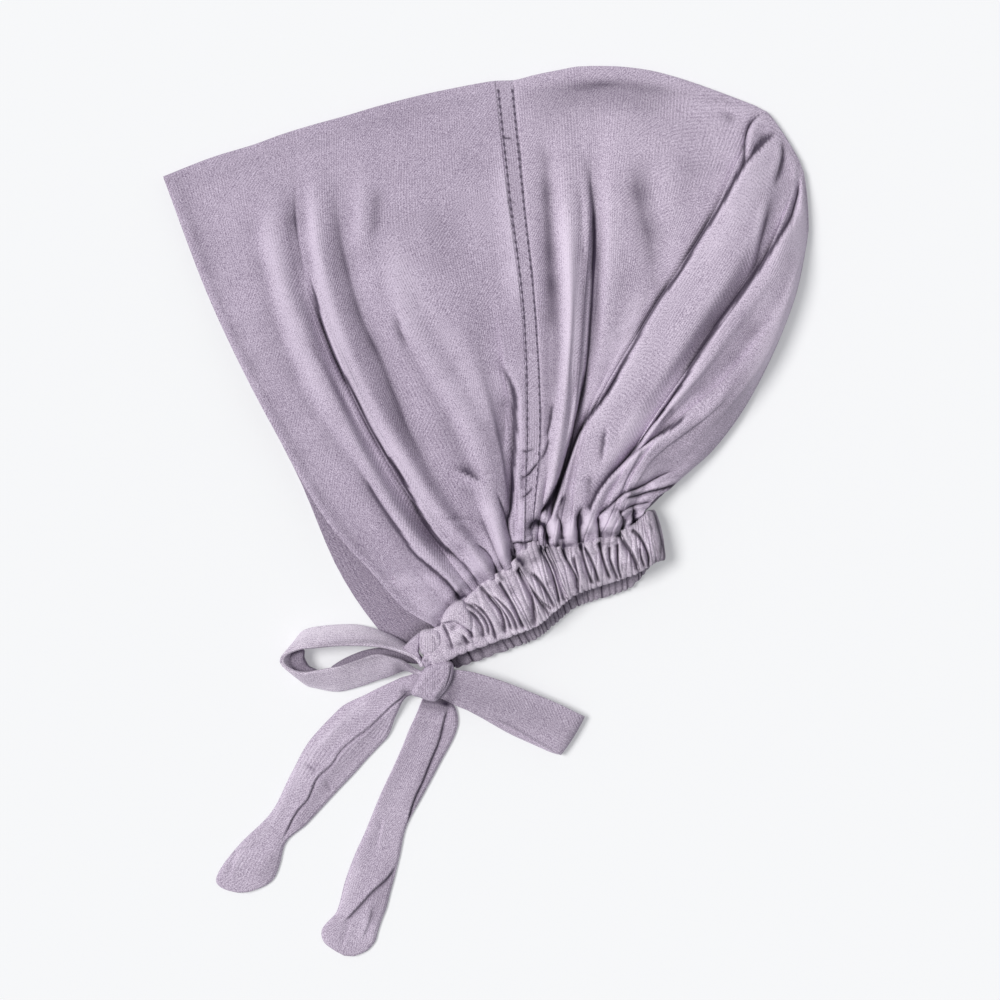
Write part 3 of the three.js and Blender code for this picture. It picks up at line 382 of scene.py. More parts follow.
shades = strokeTable("""
crown_band a 505,104 545,94 600,88 650,92 700,104 | .26 8 .24 7 .6 .2 .3
crown_dip d 545,100 556,125 565,150 | .22 9 .16 8 .6 .3 .5
crown_cast a 525,106 580,99 640,102 690,114 | .24 7 .24 8 .6 .35 .35
crown_rim a 170,186 300,146 420,108 500,92 | .14 4 .1 4 .6 .2 .1
valley_side d 594,180 597,230 599,270 600,310 598,350 590,385 | .5 3.4 .2 6 .8 .5 .4
valley_b d 640,140 648,190 654,240 657,290 | .16 9 .16 9 2 .4 .4
band_left_light d 500,130 511,200 519,280 523,330 | -.65 6 -.2 3 .6 .25 .3
fold_light d 274,190 271,230 282,275 293,320 310,360 327,400 345,430 | -.4 5 -.35 4 .6 .25 .3
second_light d 313,180 316,240 323,280 334,320 349,360 366,396 | -.45 2.6 -.4 3.4 .6 .2 .3
second_low_light d 378,418 398,450 415,478 432,505 448,526 465,538 | -.45 2.8 -.4 3.4 .6 .3 .3
third_light d 390,215 402,260 428,310 462,360 484,410 500,450 | -.45 7 -.4 5 .6 .3 .3
back_light d 560,190 566,240 572,300 571,350 564,400 | -.55 4.5 -.45 4 .6 .3 .3
casing_low_light a 500,642 535,628 567,604 | -.5 3.5 -.5 3.5 .6 .3 .3
casing_end_light d 660,520 668,540 666,560 | -.35 4 -.35 4 .6 .3 .3
mid_light d 470,160 480,230 492,300 | -.16 10 -.16 10 .6 .35 .35
mid_dark d 425,180 434,230 442,290 | .12 5 .12 5 .6 .4 .4
flap_foot_light d 652,280 634,312 618,345 604,375 | -.5 5 -.5 5 .6 .35 .35
flap_low_light d 650,400 630,440 612,475 | -.6 6 -.5 6 .6 .35 .3
flap_top_light d 764,150 758,190 748,225 738,262 | -.4 6 -.4 6 .6 .3 .35
outer_light d 806,205 803,245 796,285 780,330 758,375 725,420 | -.9 5 -.9 5 .6 .2 .3
corner_light a 376,584 405,580 430,579 447,585 | -.4 3 -.4 3 .6 .3 .2
corner_dark a 398,598 410,604 424,606 | .22 4 .22 4 .6 .35 .35
corner_rim a 398,615 411,621 426,624 441,624 | -.5 2 -.2 1.5 .6 .25 .2
fan_light d 484,490 492,515 500,540 507,565 | -.7 4 -.6 3.4 .6 .3 .1
fan_end_light d 460,548 474,560 483,576 | -.5 3 -.4 3 .6 .3 .2
drag_dark a 456,466 470,472 486,480 | .18 3.4 .1 2 .6 .35 .35
gap_arch d 529,538 532,530 538,525 545,524 549,531 | .9 1.2 .9 1.2 .6 .15 .15
gap_fill d 537,532 541,545 545,556 | .6 2.8 .6 2.8 .6 .3 .3
gap_edge d 547,534 549,546 552,556 557,568 | 1 1.1 .7 1 .6 .15 .2
gap_one d 560,518 562,530 563,540 564,550 567,562 | .9 .8 .9 .8 .6 .15 .2
gap_two d 577,513 579,522 579,532 580,542 582,552 | 1.2 1.3 1 1.2 .6 .1 .2
gap_three d 596,515 599,524 599,532 600,541 602,552 | .9 .8 .9 .8 .6 .15 .2
gap_four d 617,515 620,525 619,532 616,539 | .9 .9 .9 .9 .6 .15 .2
gap_five d 634,504 631,512 630,520 631,529 | .8 1 .8 2.2 .6 .15 .2
gap_low a 601,541 606,544 612,543 617,538 | .7 .7 .5 .8 .6 .2 .2
light_one d 554,512 554,530 555,546 | -.7 1.9 -.7 1.9 .6 .3 .3
light_two d 570,518 570,532 570,546 | -.6 2 -.6 2 .6 .3 .3
light_three d 590,514 590,525 590,534 | -.6 2.3 -.6 2.3 .6 .3 .3
light_four d 608,514 609,527 610,537 | -.7 2.7 -.7 2.7 .6 .3 .3
light_seam d 522,496 521,512 521,532 | -.6 2.4 -.6 2.4 .6 .3 .3
valley_one d 516,465 514,490 512,508 510,524 513,545 520,564 | .8 1.1 .5 .9 .6 .2 .05
valley_two d 558,478 551,495 544,508 537,518 531,527 | .8 1.3 .4 1.6 .6 .25 .1
valley_three d 567,490 563,504 560,518 | .5 1.5 .4 1.5 .6 .3 .3
hole_b d 578,514 580,520 581,527 | .8 1.8 .8 1.8 .6 .3 .3
hole_d d 518,552 522,566 526,580 | .9 2.6 .9 2.6 .6 .3 .3
hole_e d 455,588 460,595 463,600 | .5 1.4 .5 1.4 .6 .4 .2
hole_f d 494,562 499,574 503,583 | .7 1 .7 1 .6 .3 .2
hem_line d 240,372 280,450 300,486 330,528 358,575 385,605 398,618 | .45 .8 0 1 .6 .2 .2
""")  # where the cloth lies in shade or catches the light, without a change of height
casingStrokes = strokeTable("""
crease_01 d 449,614 458,618 466,623 472,631 474,638 | -2 .9 .5 1.2 .4 .2 .1
crease_02 d 443,621 448,630 452,641 455,650 | -1.4 .8 .5 1 .4 .2 .2
crease_03 d 463,633 467,638 471,643 | -1.6 .9 .3 1 .4 .3 .1
crease_04 d 462,601 464,607 472,611 479,618 484,628 485,638 | -1.8 .8 .4 1 .4 .2 .1
crease_05 d 464,600 475,607 484,616 489,626 490,636 | -1.5 .8 .4 1 .4 .2 .1
crease_06 d 468,600 481,607 490,618 495,630 498,640 | -1.9 .9 .4 1 .4 .2 .1
crease_07 d 480,583 490,595 500,608 505,620 507,634 | -2.2 1 .5 1.1 .4 .1 .1
crease_08 d 488,592 498,603 508,617 513,630 | -2 .8 .4 1 .4 .2 .1
crease_09 d 490,592 501,601 511,612 517,624 519,631 | -1.6 .8 .4 1 .4 .2 .1
crease_10 d 500,580 507,592 515,606 521,619 526,629 | -2.3 .9 .5 1.1 .4 .05 .1
crease_11 d 519,566 527,582 533,597 536,612 537,628 | -2.8 1.3 .6 1.2 .4 .05 .1
crease_12 d 522,572 532,587 541,600 549,612 555,617 | -2.2 1 .4 1 .4 .1 .1
crease_13 d 528,583 536,594 545,603 553,609 | -1.8 .8 .4 1 .4 .2 .1
crease_14 d 529,570 537,576 544,585 550,596 556,608 | -2 .9 .5 1 .4 .2 .1
crease_15 d 540,540 544,553 550,566 555,580 559,596 561,606 | -1.9 .9 .4 1 .4 .1 .1
crease_16 d 547,545 551,556 557,568 561,580 566,592 570,601 | -3.4 1.6 .5 1.2 .4 .05 .1
crease_17 d 552,560 558,575 563,590 566,602 | -1.6 .8 .4 1 .4 .2 .1
crease_18 d 563,545 566,556 572,567 577,577 579,590 | -2.1 .9 .5 1 .4 .05 .1
crease_19 d 574,553 576,565 579,580 579,594 | -1.8 .8 .5 1 .4 .2 .05
crease_20 d 581,543 584,556 588,570 594,584 | -2.3 1 .5 1 .4 .05 .1
crease_21 d 584,545 591,557 596,570 600,583 | -2 .9 .4 1 .4 .1 .1
crease_22 d 600,541 602,553 606,566 611,579 | -2.3 .9 .5 1 .4 .05 .1
crease_23 d 610,545 610,556 614,568 619,580 | -1.7 .8 .4 1 .4 .1 .1
crease_24 d 618,542 618,555 619,568 622,579 | -1.9 .9 .4 1 .4 .1 .1
crease_25 d 619,530 625,541 632,552 637,563 640,572 | -2.8 1.3 .5 1.1 .4 .05 .1
crease_26 d 632,528 640,536 646,548 649,560 649,569 | -2.3 .9 .5 1 .4 .05 .1
crease_27 d 640,545 641,556 645,567 | -1.5 .8 .4 1 .4 .2 .1
crease_28 d 651,524 656,534 661,547 666,560 | .9 1.2 -1.3 1 .4 .05 .1
crease_29 d 660,548 659,556 655,566 | -1.2 1 .3 1 .4 .2 .2
puff_front a 447,606 456,606 462,612 466,620 | 1.3 3.2 1.3 3.2 .6 .3 .3
puff_low a 452,628 458,634 462,643 | 1 2.6 1 2.6 .6 .3 .3
wide_back d 508,592 518,607 527,622 | .9 2.6 .9 2.6 .6 .3 .3
wide_back_b d 533,560 541,572 548,583 | .8 2.2 .8 2.2 .6 .3 .3
""")
tieStrokes = strokeTable("""
left_crease d 411,688 400,699 390,707 378,719 365,731 350,742 338,753 331,765 320,775 315,780 310,792 306,801 297,811
  291,820 285,833 279,846 | .7 1.5 -1.5 .9 .35 .1 .1
left_lip d 405,698 392,708 378,722 365,734 350,745 339,756 332,768 320,779 | .2 1 .6 1.2 .4 .2 .2
left_dent a 303,763 311,768 318,774 | .4 2 -1.2 1.6 .5 .3 .3
left_dent_b a 324,779 329,787 332,795 | .3 1.8 -.9 1.8 .6 .3 .3
left_swell d 352,712 332,735 315,755 | .7 3 .4 3 .6 .3 .3
left_end a 226,856 240,850 256,848 | .5 3 -.4 3 .6 .3 .3
left_end_b d 238,850 232,866 228,884 | -.5 3 .5 3 .6 .3 .3
left_end_c d 278,830 272,850 262,870 | .5 3 .6 3 .6 .3 .3
right_edge d 448,706 443,722 438,742 430,762 422,782 413,802 405,829 | .5 1.4 -1.5 1.2 .3 .1 .1
right_twist d 396,866 386,880 372,893 359,907 347,920 340,928 | .9 1.8 -1.5 1.6 .4 .15 .2
right_fold d 384,815 380,835 376,855 | -.5 2.6 .4 2.6 .6 .3 .3
right_fold_b d 370,830 362,855 352,880 | .5 2.8 .4 2.8 .6 .3 .3
right_end d 372,905 368,925 360,945 | .7 2.2 -.7 2.2 .6 .3 .3
right_end_b d 350,925 345,940 341,952 | -.6 2.2 .5 2.4 .6 .3 .3
""")
tieShades = strokeTable("""
left_under d 388,714 354,754 327,782 304,818 290,850 | .26 3.2 .26 3.2 .6 .1 .3
left_light d 372,698 334,732 306,764 288,806 | -.5 3 -.3 2.6 .6 .1 .3
left_end_light d 252,842 240,858 232,872 | -.3 4 -.2 4 .6 .3 .3
left_end_dark d 274,850 268,870 255,886 | .26 3 .26 3 .6 .3 .3
left_rim d 300,752 284,800 262,838 236,856 | -.4 1.4 0 1 .5 .2 .2
right_strip d 428,712 404,754 386,791 370,830 | .2 5 .2 4 .6 .1 .3
right_under d 446,720 430,759 416,795 402,835 | .3 2.6 .3 3 .6 .1 .3
right_low_light d 362,856 349,890 336,925 | -.42 3 -.3 2.6 .6 .3 .3
right_low_dark d 392,850 385,880 374,915 366,942 | .24 3 .24 3 .6 .3 .3
right_end_light d 372,920 360,945 | -.25 4 -.2 4 .6 .3 .3
under_knot a 398,712 414,704 432,704 452,712 | .8 3.4 .55 3.8 .6 .15 .15
left_knot a 398,690 410,697 420,706 | .6 2.4 .6 2.4 .6 .2 .2
loop_right_face a 452,686 500,704 545,721 588,738 | .26 9 .26 9 .6 .05 .05
loop_right_knot d 452,672 450,690 444,708 | .5 2.4 .6 3 .6 .1 .1
loop_right_gap a 486,716 510,727 535,742 556,754 | .5 .9 -.2 1.6 .5 .25 .1
loop_right_end d 592,714 584,730 570,750 | .2 2 .2 2 .6 .2 .2
loop_top_light a 286,648 300,638 330,631 365,629 398,636 | -.55 4 -.4 3 .6 .2 .2
loop_top_under a 300,650 330,643 370,640 405,648 | .2 1.2 .4 1.6 .5 .2 .2
loop_low_light a 296,682 325,688 355,682 385,670 | -.1 3 -.4 2.6 .6 .2 .3
loop_low_dark a 330,671 355,663 385,657 410,660 | .45 2 .2 2.4 .6 .3 .1
loop_turn d 283,652 279,664 284,674 | .3 1.6 .2 1.6 .6 .2 .2
loop_at_knot a 390,672 402,668 418,664 | .5 3.4 .5 3.4 .6 .3 .1
""")
knotStrokes = strokeTable("""
knot_left d 426,662 418,674 413,686 411,694 | -.4 .9 0 .9 .4 .1 .1
knot_rib_a a 420,694 432,676 444,664 | -.3 .8 .3 .9 .3 .3 .3
knot_rib_b a 430,698 440,682 449,670 | -.3 .8 .3 .9 .3 .3 .3
band_edge d 452,664 451,672 448,682 443,691 437,699 | -.9 .5 0 .5 .3 .05 .05
band_edge_b d 447,680 442,690 436,698 | -.5 .5 .3 .6 .3 .3 .1
band_rib_a d 424,672 434,684 443,694 | -.25 .7 .2 .8 .3 .3 .3
band_rib_b d 432,666 441,677 448,684 | -.25 .7 .2 .8 .3 .3 .3
band_rib_c d 418,682 427,691 433,698 | -.25 .7 .2 .8 .3 .3 .3
puff_fold d 432,632 437,641 438,648 | -.5 .9 .4 1.2 .4 .3 .3
puff_fold_b d 424,632 423,642 425,652 | -.4 .9 .3 1.2 .4 .3 .3
ball_fold a 423,660 428,661 433,658 | -.5 .7 .3 .8 .3 .2 .2
strip_fold d 449,643 442,651 434,658 | -.4 .6 .4 .8 .3 .2 .2
""")


def smoothPath(points, count=40):
    points = np.array(points, float)
    chord = lengths(points)
    return through(chord, points, np.linspace(0, chord[-1], count))


def brushed(plan, rows):  # how far the strokes lift each point of a grid seen from above
    xy = plan[..., :2].reshape(-1, 2)
    lift = np.zeros(len(xy))
    for row in rows:
        path = smoothPath(row["points"])
        reach = 3.2 * max(row["leftWide"], row["rightWide"]) + 1  # nothing is left of the stroke beyond this
        near = ((xy > path.min(axis=0) - reach) & (xy < path.max(axis=0) + reach)).all(axis=1)
        if not near.any():
            continue
        p = xy[near]
        a, way = path[:-1], np.diff(path, axis=0)
        size = np.linalg.norm(way, axis=1)
        best = np.full(len(p), 1e9)
        side = np.zeros(len(p))
        along = np.zeros(len(p))
        for k in range(len(a)):
            offset = p - a[k]
            u = np.clip(offset @ way[k] / size[k] ** 2, 0, 1)
            gap = offset - u[:, None] * way[k]
            distance = np.hypot(gap[:, 0], gap[:, 1])
            closer = distance < best
            best = np.where(closer, distance, best)
            turned = way[k, 0] * offset[:, 1] - way[k, 1] * offset[:, 0]
            side = np.where(closer, -np.sign(turned) * distance, side)
            along = np.where(closer, (k + u) / len(a), along)
        left = row["leftUp"] * np.exp(-(side / row["leftWide"]) ** 2)
        right = row["rightUp"] * np.exp(-(side / row["rightWide"]) ** 2)
        window = smooth(0, row["fadeIn"], along) * (1 - smooth(1 - row["fadeOut"], 1, along))
        lift[near] += lerp(left, right, smooth(-row["turn"], row["turn"], side)) * window
    return lift.reshape(plan.shape[:2])


def rippled(grid, waves):  # faint unevenness of cloth that was smoothed by hand
    x, y = grid[..., 0], grid[..., 1]
    lift = np.zeros(x.shape)
    for high, wide, count in waves:
        for _ in range(count):
            angle, phase = rng.uniform(0, 2 * math.pi, 2)
            pitch = wide * rng.uniform(0.75, 1.35)
            k = 2 * math.pi / pitch
            lift += high * np.sin(k * (x * math.cos(angle) + y * math.sin(angle)) + phase) / count ** 0.5
    return lift


def blurred(field, reach):  # a running mean along rows and columns
    for axis in (0, 1):
        size = 2 * reach + 1
        padded = np.concatenate([np.repeat(field.take([0], axis), reach + 1, axis), field,
                                 np.repeat(field.take([-1], axis), reach, axis)], axis)
        total = np.cumsum(padded, axis)
        count = field.shape[axis]
        field = (total.take(range(size, size + count), axis) - total.take(range(count), axis)) / size
    return field


# strengths of the painted shade in creases and of the painted highlight on ridges
hollow = {"sharpBy": 0.5, "sharpPower": 1.3, "sharpShow": 0.85, "broadBy": 1.9, "broadShow": 0.6, "lightest": -0.6}


def hollowShading(lift, near, wide):  # painted shade: how far each point lies in a crease, up to 1; below 0 on a ridge, for a painted highlight
    sharp = np.clip((blurred(lift, near) - lift) / hollow["sharpBy"], 0, 1) ** hollow["sharpPower"]
    broad = np.clip((blurred(lift, wide) - lift) / hollow["broadBy"], -1, 1)
    return np.clip(hollow["sharpShow"] * sharp + hollow["broadShow"] * broad, hollow["lightest"], 1)


def placed(name, mesh):
    obj = bpy.data.objects.new(name, mesh)
    bpy.context.scene.collection.objects.link(obj)
    print("made", name, len(mesh.polygons), "faces")
    return obj


def meshFrom(name, grid, uv, crease, closed=False, wrap=0.0):  # closed: a tube with both ends capped
    rows, columns = grid.shape[:2]
    across = columns if closed else columns - 1
    j, i = np.meshgrid(np.arange(rows - 1), np.arange(across), indexing="ij")
    k = (i + 1) % columns
    faces = np.stack([j * columns + i, (j + 1) * columns + i, (j + 1) * columns + k, j * columns + k], -1)
    faces = faces.reshape(-1, 4).tolist()
    if closed:
        faces.append(list(range(columns)))
        faces.append([(rows - 1) * columns + i for i in range(columns)][::-1])
    mesh = bpy.data.meshes.new(name)
    mesh.from_pydata((grid.reshape(-1, 3) / 1000).tolist(), [], faces)
    flatMap = mesh.uv_layers.new(name="cloth")
    corners = np.zeros(len(mesh.loops), int)
    mesh.loops.foreach_get("vertex_index", corners)
    flatUv = uv.reshape(-1, 2)[corners]
    if wrap:  # a tube's last strip of faces carries on past its first column
        strip = (corners % columns == 0) & (np.arange(len(mesh.loops)) // 4 % across == across - 1)
        flatUv = flatUv + np.stack([strip * wrap, np.zeros(len(strip))], -1)
    flatMap.data.foreach_set("uv", flatUv.ravel())
    # a point attribute of painted shade (above 0) and painted highlight (below 0) that the cloth's colour reads
    shade = mesh.attributes.new("crease", "FLOAT", "POINT")
    shade.data.foreach_set("value", crease.ravel())
    mesh.update()
    mesh.polygons.foreach_set("use_smooth", [True] * len(mesh.polygons))
    return placed(name, mesh)


def thickened(obj, thickness):
    bpy.ops.object.select_all(action="DESELECT")
    obj.select_set(True)
    bpy.context.view_layer.objects.active = obj
    modifier = obj.modifiers.new("Thickness", "SOLIDIFY")
    modifier.thickness, modifier.offset = thickness / 1000, 0
    bpy.ops.object.modifier_apply(modifier=modifier.name)


def alongRows(grid):  # millimetres along each column from its first row
    steps = np.linalg.norm(np.diff(grid, axis=0), axis=2)
    return np.concatenate([np.zeros((1, grid.shape[1])), np.cumsum(steps, axis=0)])


uvSize = 100  # millimetres of cloth to one unit of the map
cloth = {"thickness": 0.8, "tuck": 1.8, "tuckFrom": 0.985, "upperBy": 0.05, "wavesBy": 0.2, "rollRows": 8,
         "foldUp": 1.22, "foldNear": 3, "foldWide": 11, "hem": 0.9, "hemWide": 3.0,
         "corner": 3.6, "cornerAt": 0.93, "cornerLong": 0.075, "cornerWide": 30, "cornerX": 0.55,
         "inside": 0.3, "ribShow": 0.5, "ribPitch": 2.4, "waves": ((0.16, 46, 5), (0.07, 17, 6))}
gather = {"count": 16, "up": 1.0, "from": 0.8, "to": 0.99, "grow": 1.5, "round": 0.8,
          "jitter": ((0.35, 37, 1.3), (0.25, 61, 4)), "swell": (0.75, 0.35, 23, 2),
          "pillowUp": 1.1, "pillowFrom": 0.9, "pillowTo": 0.965, "dropFrom": 0.972, "drop": 2.2}


def gathered(places, ways):  # soft folds that crowd together at the casing
    k = np.interp(places, ribPlaces, neckShares)[None, :]
    jitter = sum(size * np.sin(k * often + phase) for size, often, phase in gather["jitter"])
    fold = 1 - 2 * np.abs(np.sin(math.pi * (k * gather["count"] + jitter))) ** gather["round"]
    rise = smooth(gather["from"], gather["to"], ways) ** gather["grow"]
    middle, size, often, phase = gather["swell"]
    swell = middle + size * np.sin(k * often + phase)
    pillow = (gather["pillowUp"] * smooth(gather["pillowFrom"], gather["pillowTo"], ways)
              * (1 - smooth(gather["dropFrom"], 1.0, ways) * gather["drop"]))
    return -gather["up"] * rise * swell * fold + pillow


stitch = {"pitch": 3.6, "long": 2.2, "thick": 0.6, "first": 2, "last": 3, "sunk": 0.05,
          "hole": 1.15, "holeEdge": 0.4, "columns": (2, -3)}
seamRows = 300


def needleHoleShade(grid, ways):  # painted shade in the needle holes between the stitches of both rows
    dark = np.zeros(ways.shape)
    first = np.argmax(ways[:, 0] > 0.01)
    for column in stitch["columns"]:
        chord = lengths(grid[first:, column])
        gap = np.abs((chord - stitch["first"] + stitch["pitch"] / 2) % stitch["pitch"] - stitch["pitch"] / 2)
        shade = np.clip((stitch["hole"] - gap) / stitch["holeEdge"], 0, 1)
        for beside in (column - 1, column, column + 1):
            dark[first:, beside] = shade
    return dark


def clothPiece(name, places, upperRows, lowerRows):
    grid, ways = clothGrid(places, upperRows, lowerRows, cloth["rollRows"])
    near = 1 - smooth(0, cloth["cornerWide"], np.broadcast_to(places, ways.shape))
    corner = np.exp(-((ways - cloth["cornerAt"]) / cloth["cornerLong"]) ** 2) * near * (ways > 0) * cloth["corner"]
    grid[..., 0] -= corner * cloth["cornerX"]
    grid[..., 1] -= corner
    tucked = smooth(cloth["tuckFrom"], 1, np.abs(ways))[..., None] * cloth["tuck"]  # under the casing's edge
    top, low = casingPoints(np.interp(places, ribPlaces, neckShares))
    grid[..., :2] += unit(low - top)[None] * tucked * (ways > 0)[..., None]
    grid = grid + shift
    upper = smooth(0.0, cloth["upperBy"], ways)
    lift = brushed(grid, strokes) * cloth["foldUp"]
    lift += rippled(grid, cloth["waves"]) * smooth(0, cloth["wavesBy"], ways)
    lift += gathered(places, ways)
    if name == "jersey_front":
        lift += cloth["hem"] * np.exp(-(places / cloth["hemWide"]) ** 2)
    # painted shade in the cloth's creases and painted highlight on its ridges, with the shades table's painted shade
    # and light on top
    crease = hollowShading(lift * upper, cloth["foldNear"], cloth["foldWide"]) + brushed(grid, shades) * upper
    grid[..., 2] = np.maximum(grid[..., 2] + lift * upper, cloth["thickness"] / 2)
    uv = np.stack([np.broadcast_to(places / uvSize, ways.shape), alongRows(grid) / uvSize], -1)
    ribbed = 1 + cloth["ribShow"] * np.sin(places / cloth["ribPitch"] * 2 * math.pi)
    # painted shade on the lower layer where it lies under the upper one, in rib stripes
    crease = np.where(ways < 0, cloth["inside"] * (1 - smooth(-0.02, 0.0, ways)) * ribbed, crease)
    if name == "crown_seam_band":
        crease = np.maximum(crease, needleHoleShade(grid, ways))
    return meshFrom(name, grid, uv, crease), grid


def columnPlaces(low, high, spacing, fine=()):
    places = [low]
    while places[-1] < high - 1e-6:
        step = spacing
        for middle, reach, small in fine:
            if abs(places[-1] - middle) < reach:
                step = min(step, small)
        places.append(min(places[-1] + step, high))
    return np.array(places)


pleatMiddles = [(ribPlaces[ribIndex[n] + 1: ribIndex[n] + 3].mean(), 6, 0.6) for n in pleatOf]
seamStart, seamEnd = ribPlaces[ribIndex["seam_left"]], ribPlaces[ribIndex["seam_right"]]
spacing = {"front": 1.1, "back": 1.25, "seam": 0.36}  # millimetres between columns
panelRows = 170
front = clothPiece("jersey_front", columnPlaces(0, seamStart, spacing["front"], pleatMiddles), panelRows, 26)[0]
back = clothPiece("jersey_back", columnPlaces(seamEnd, lastPlace, spacing["back"], pleatMiddles), panelRows, 14)[0]
seam, seamGrid = clothPiece("crown_seam_band", columnPlaces(seamStart, seamEnd, spacing["seam"]), seamRows, 20)
for piece in (front, back, seam):
    thickened(piece, cloth["thickness"])

casing = {"thickness": 3.6, "rise": 11.8, "low": 2.016, "ruffles": 34, "depth": 1.6, "scallop": 0.9,
          "stations": 430, "outer": 26, "inner": 10, "leadPlain": 0.5, "plain": 0.62, "turnPlain": 0.8,
          "turnSteps": 28, "turnFlat": 0.6, "turnShare": 0.1, "drop": 5.6, "dropFrom": 0.8, "lowOn": 0.013,
          "leadFrom": -0.06, "leadStep": 0.002, "leads": 30, "leadEnd": 2.9, "lowShade": 0.3, "least": 0.05,
          "foldUp": 0.55, "swellUp": 1.15, "up": 0.9, "swellLeft": 2.4, "swellRight": 1.6,
          "foldNear": 3, "foldWide": 7, "paintedShadeShow": 0.8, "domeOut": (0.12, 0.4, 0.45), "domeIn": (-0.22, -0.2, 0.6),
          "ruffleLow": 0.55, "scallopLow": 0.4, "flatFrom": 0.08, "flatPower": 0.3,
          "roundFrom": 0.02, "roundPower": 0.22}
ruffle = {"sway": ((0.006, 5, 40), (0.004, 11, 90)), "swell": (0.72, 0.28), "round": 2.4}
ruffleJitter = rng.uniform(-0.22, 0.22, casing["ruffles"] + 6)
ruffleSwell = rng.uniform(0, 1, casing["ruffles"] + 6)


def ruffleAt(u, v):  # 0 in a crease, 1 on a ruffle's back; u along the casing, v across it
    edges = (np.arange(-2, casing["ruffles"] + 4) + ruffleJitter) / casing["ruffles"]
    swayed = u
    for size, acrossOften, alongOften in ruffle["sway"]:
        swayed = swayed + size * np.sin(v * acrossOften + u * alongOften)
    at = np.interp(swayed, edges, np.arange(len(edges)))
    s = at - np.floor(at)
    least, more = ruffle["swell"]
    swell = least + more * ruffleSwell[np.clip(np.floor(at).astype(int), 0, len(ruffleSwell) - 1)]
    return (1 - np.abs(2 * s - 1) ** ruffle["round"]) * swell


def domed(v, shape):
    edge, more, power = shape
    return edge + more * np.sin(math.pi * v) ** power


def casingRing(top, low, normal, u, puff):  # one section of the casing from its top edge to its low edge
    across = low - top
    height = np.linalg.norm(across)
    across = across / height
    v = np.concatenate([np.linspace(0, 1, casing["outer"]), np.linspace(1, 0, casing["inner"])])
    outer = np.arange(len(v)) < casing["outer"]
    ruffled = ruffleAt(np.full(len(v), u), v) * puff
    waved = np.where(outer, 1, -0.5) * (ruffled - casing["ruffleLow"] * puff) * casing["depth"]
    flat = np.sin(math.pi * np.clip(v, casing["flatFrom"], 1 - casing["flatFrom"])) ** casing["flatPower"]
    dome = np.where(outer, domed(v, casing["domeOut"]), domed(v, casing["domeIn"]))
    up = dome * casing["thickness"] + waved * flat
    out = (v - 0.5) * 2 * (ruffled - casing["scallopLow"]) * casing["scallop"]
    return top + across * (v * height + out)[:, None] + normal * up[:, None]


def casingPiece():
    rings, ringPlaces = [], []
    up = np.array([0, 0, 1.0])

    def ring(edges, height, normal, drop, move, u, puff):
        top, low = (np.array([*edge, height]) - [0, drop, 0] + move for edge in edges)
        rings.append(casingRing(top, low, normal, u, puff))
        ringPlaces.append(u)

    def edgesAt(share):
        return [p[0] for p in casingPoints(share)]

    leadAt = np.linspace(0, casing["leadEnd"], casing["leads"])
    leads = through([0, 1, 2, 3], np.vstack([casingLead, casingTable[0]]), leadAt)
    leadEdges = [(row[:2] * planSize, row[2:] * planSize) for row in leads]
    leadPlaces = [casing["leadFrom"] + casing["leadStep"] * i for i in range(len(leads))]
    for edges, u in zip(leadEdges, leadPlaces):
        ring(edges, casing["rise"], up, 0, 0, u, casing["leadPlain"])
    for share in np.linspace(0, 1, casing["stations"]):
        ring(edgesAt(share), casing["rise"], up, 0, 0, share, casing["plain"])
    front = len(rings)
    edges = edgesAt(1.0)
    axis = unit(edges[1] - edges[0])
    outward = np.array([-axis[1], axis[0], 0])
    radius = (casing["rise"] - casing["low"]) / 2
    for i in range(1, casing["turnSteps"]):  # round the nape to the lower half
        angle = math.pi * i / casing["turnSteps"]
        move = outward * radius * casing["turnFlat"] * math.sin(angle)
        height = casing["low"] + radius * (1 + math.cos(angle))
        normal = outward * math.sin(angle) + up * math.cos(angle)
        ring(edges, height, normal, 0, move, 1 + casing["turnShare"] * i / casing["turnSteps"], casing["turnPlain"])
    for share in np.linspace(1, 0, casing["stations"] // 2):
        drop = casing["drop"] * (1 - smooth(casing["dropFrom"], 1, share))
        ring(edgesAt(share), casing["low"], -up, drop, 0, share + casing["lowOn"], 1)
    for i, edges in enumerate(leadEdges[::-1]):
        drop = casing["drop"] * lerp(0.95, 0.2, i / len(leads))
        ring(edges, casing["low"], -up, drop, 0, leadPlaces[i], casing["leadPlain"])
    grid = np.array(rings) + shift
    face = grid[:front, :casing["outer"]]
    broad = [{**row, "leftWide": row["leftWide"] * casing["swellLeft"],
              "rightWide": row["rightWide"] * casing["swellRight"]} for row in casingStrokes]
    lift = brushed(face, casingStrokes) * casing["foldUp"] + brushed(face, broad) * casing["swellUp"] + casing["up"]
    crease = np.zeros(grid.shape[:2])
    # painted shade in the upper half's ruffle creases and painted highlight on their backs, with the shades table on
    # top
    folds = hollowShading(lift, casing["foldNear"], casing["foldWide"]) * casing["paintedShadeShow"]
    crease[:front, :casing["outer"]] = folds + brushed(face, shades)
    # painted shade on the lower half: darker all over, darker still in its ruffle creases
    none = np.zeros(grid.shape[1])
    low = [1 - ruffleAt(none + u, none) for u in ringPlaces[front:]]
    crease[front:] = np.array(low) ** 3 + casing["lowShade"]
    across = np.clip(np.linspace(0, 1, casing["outer"]), casing["roundFrom"], 1 - casing["roundFrom"])
    face[..., 2] += lift * np.sin(math.pi * across) ** casing["roundPower"]
    grid[..., 2] = np.maximum(grid[..., 2], casing["least"])
    along = alongRows(grid)
    uv = np.stack([along, np.broadcast_to(lengths(grid[60]), along.shape)], -1) / uvSize
    return meshFrom("neck_casing_gathered", grid, uv, crease, closed=True)


casingObj = casingPiece()

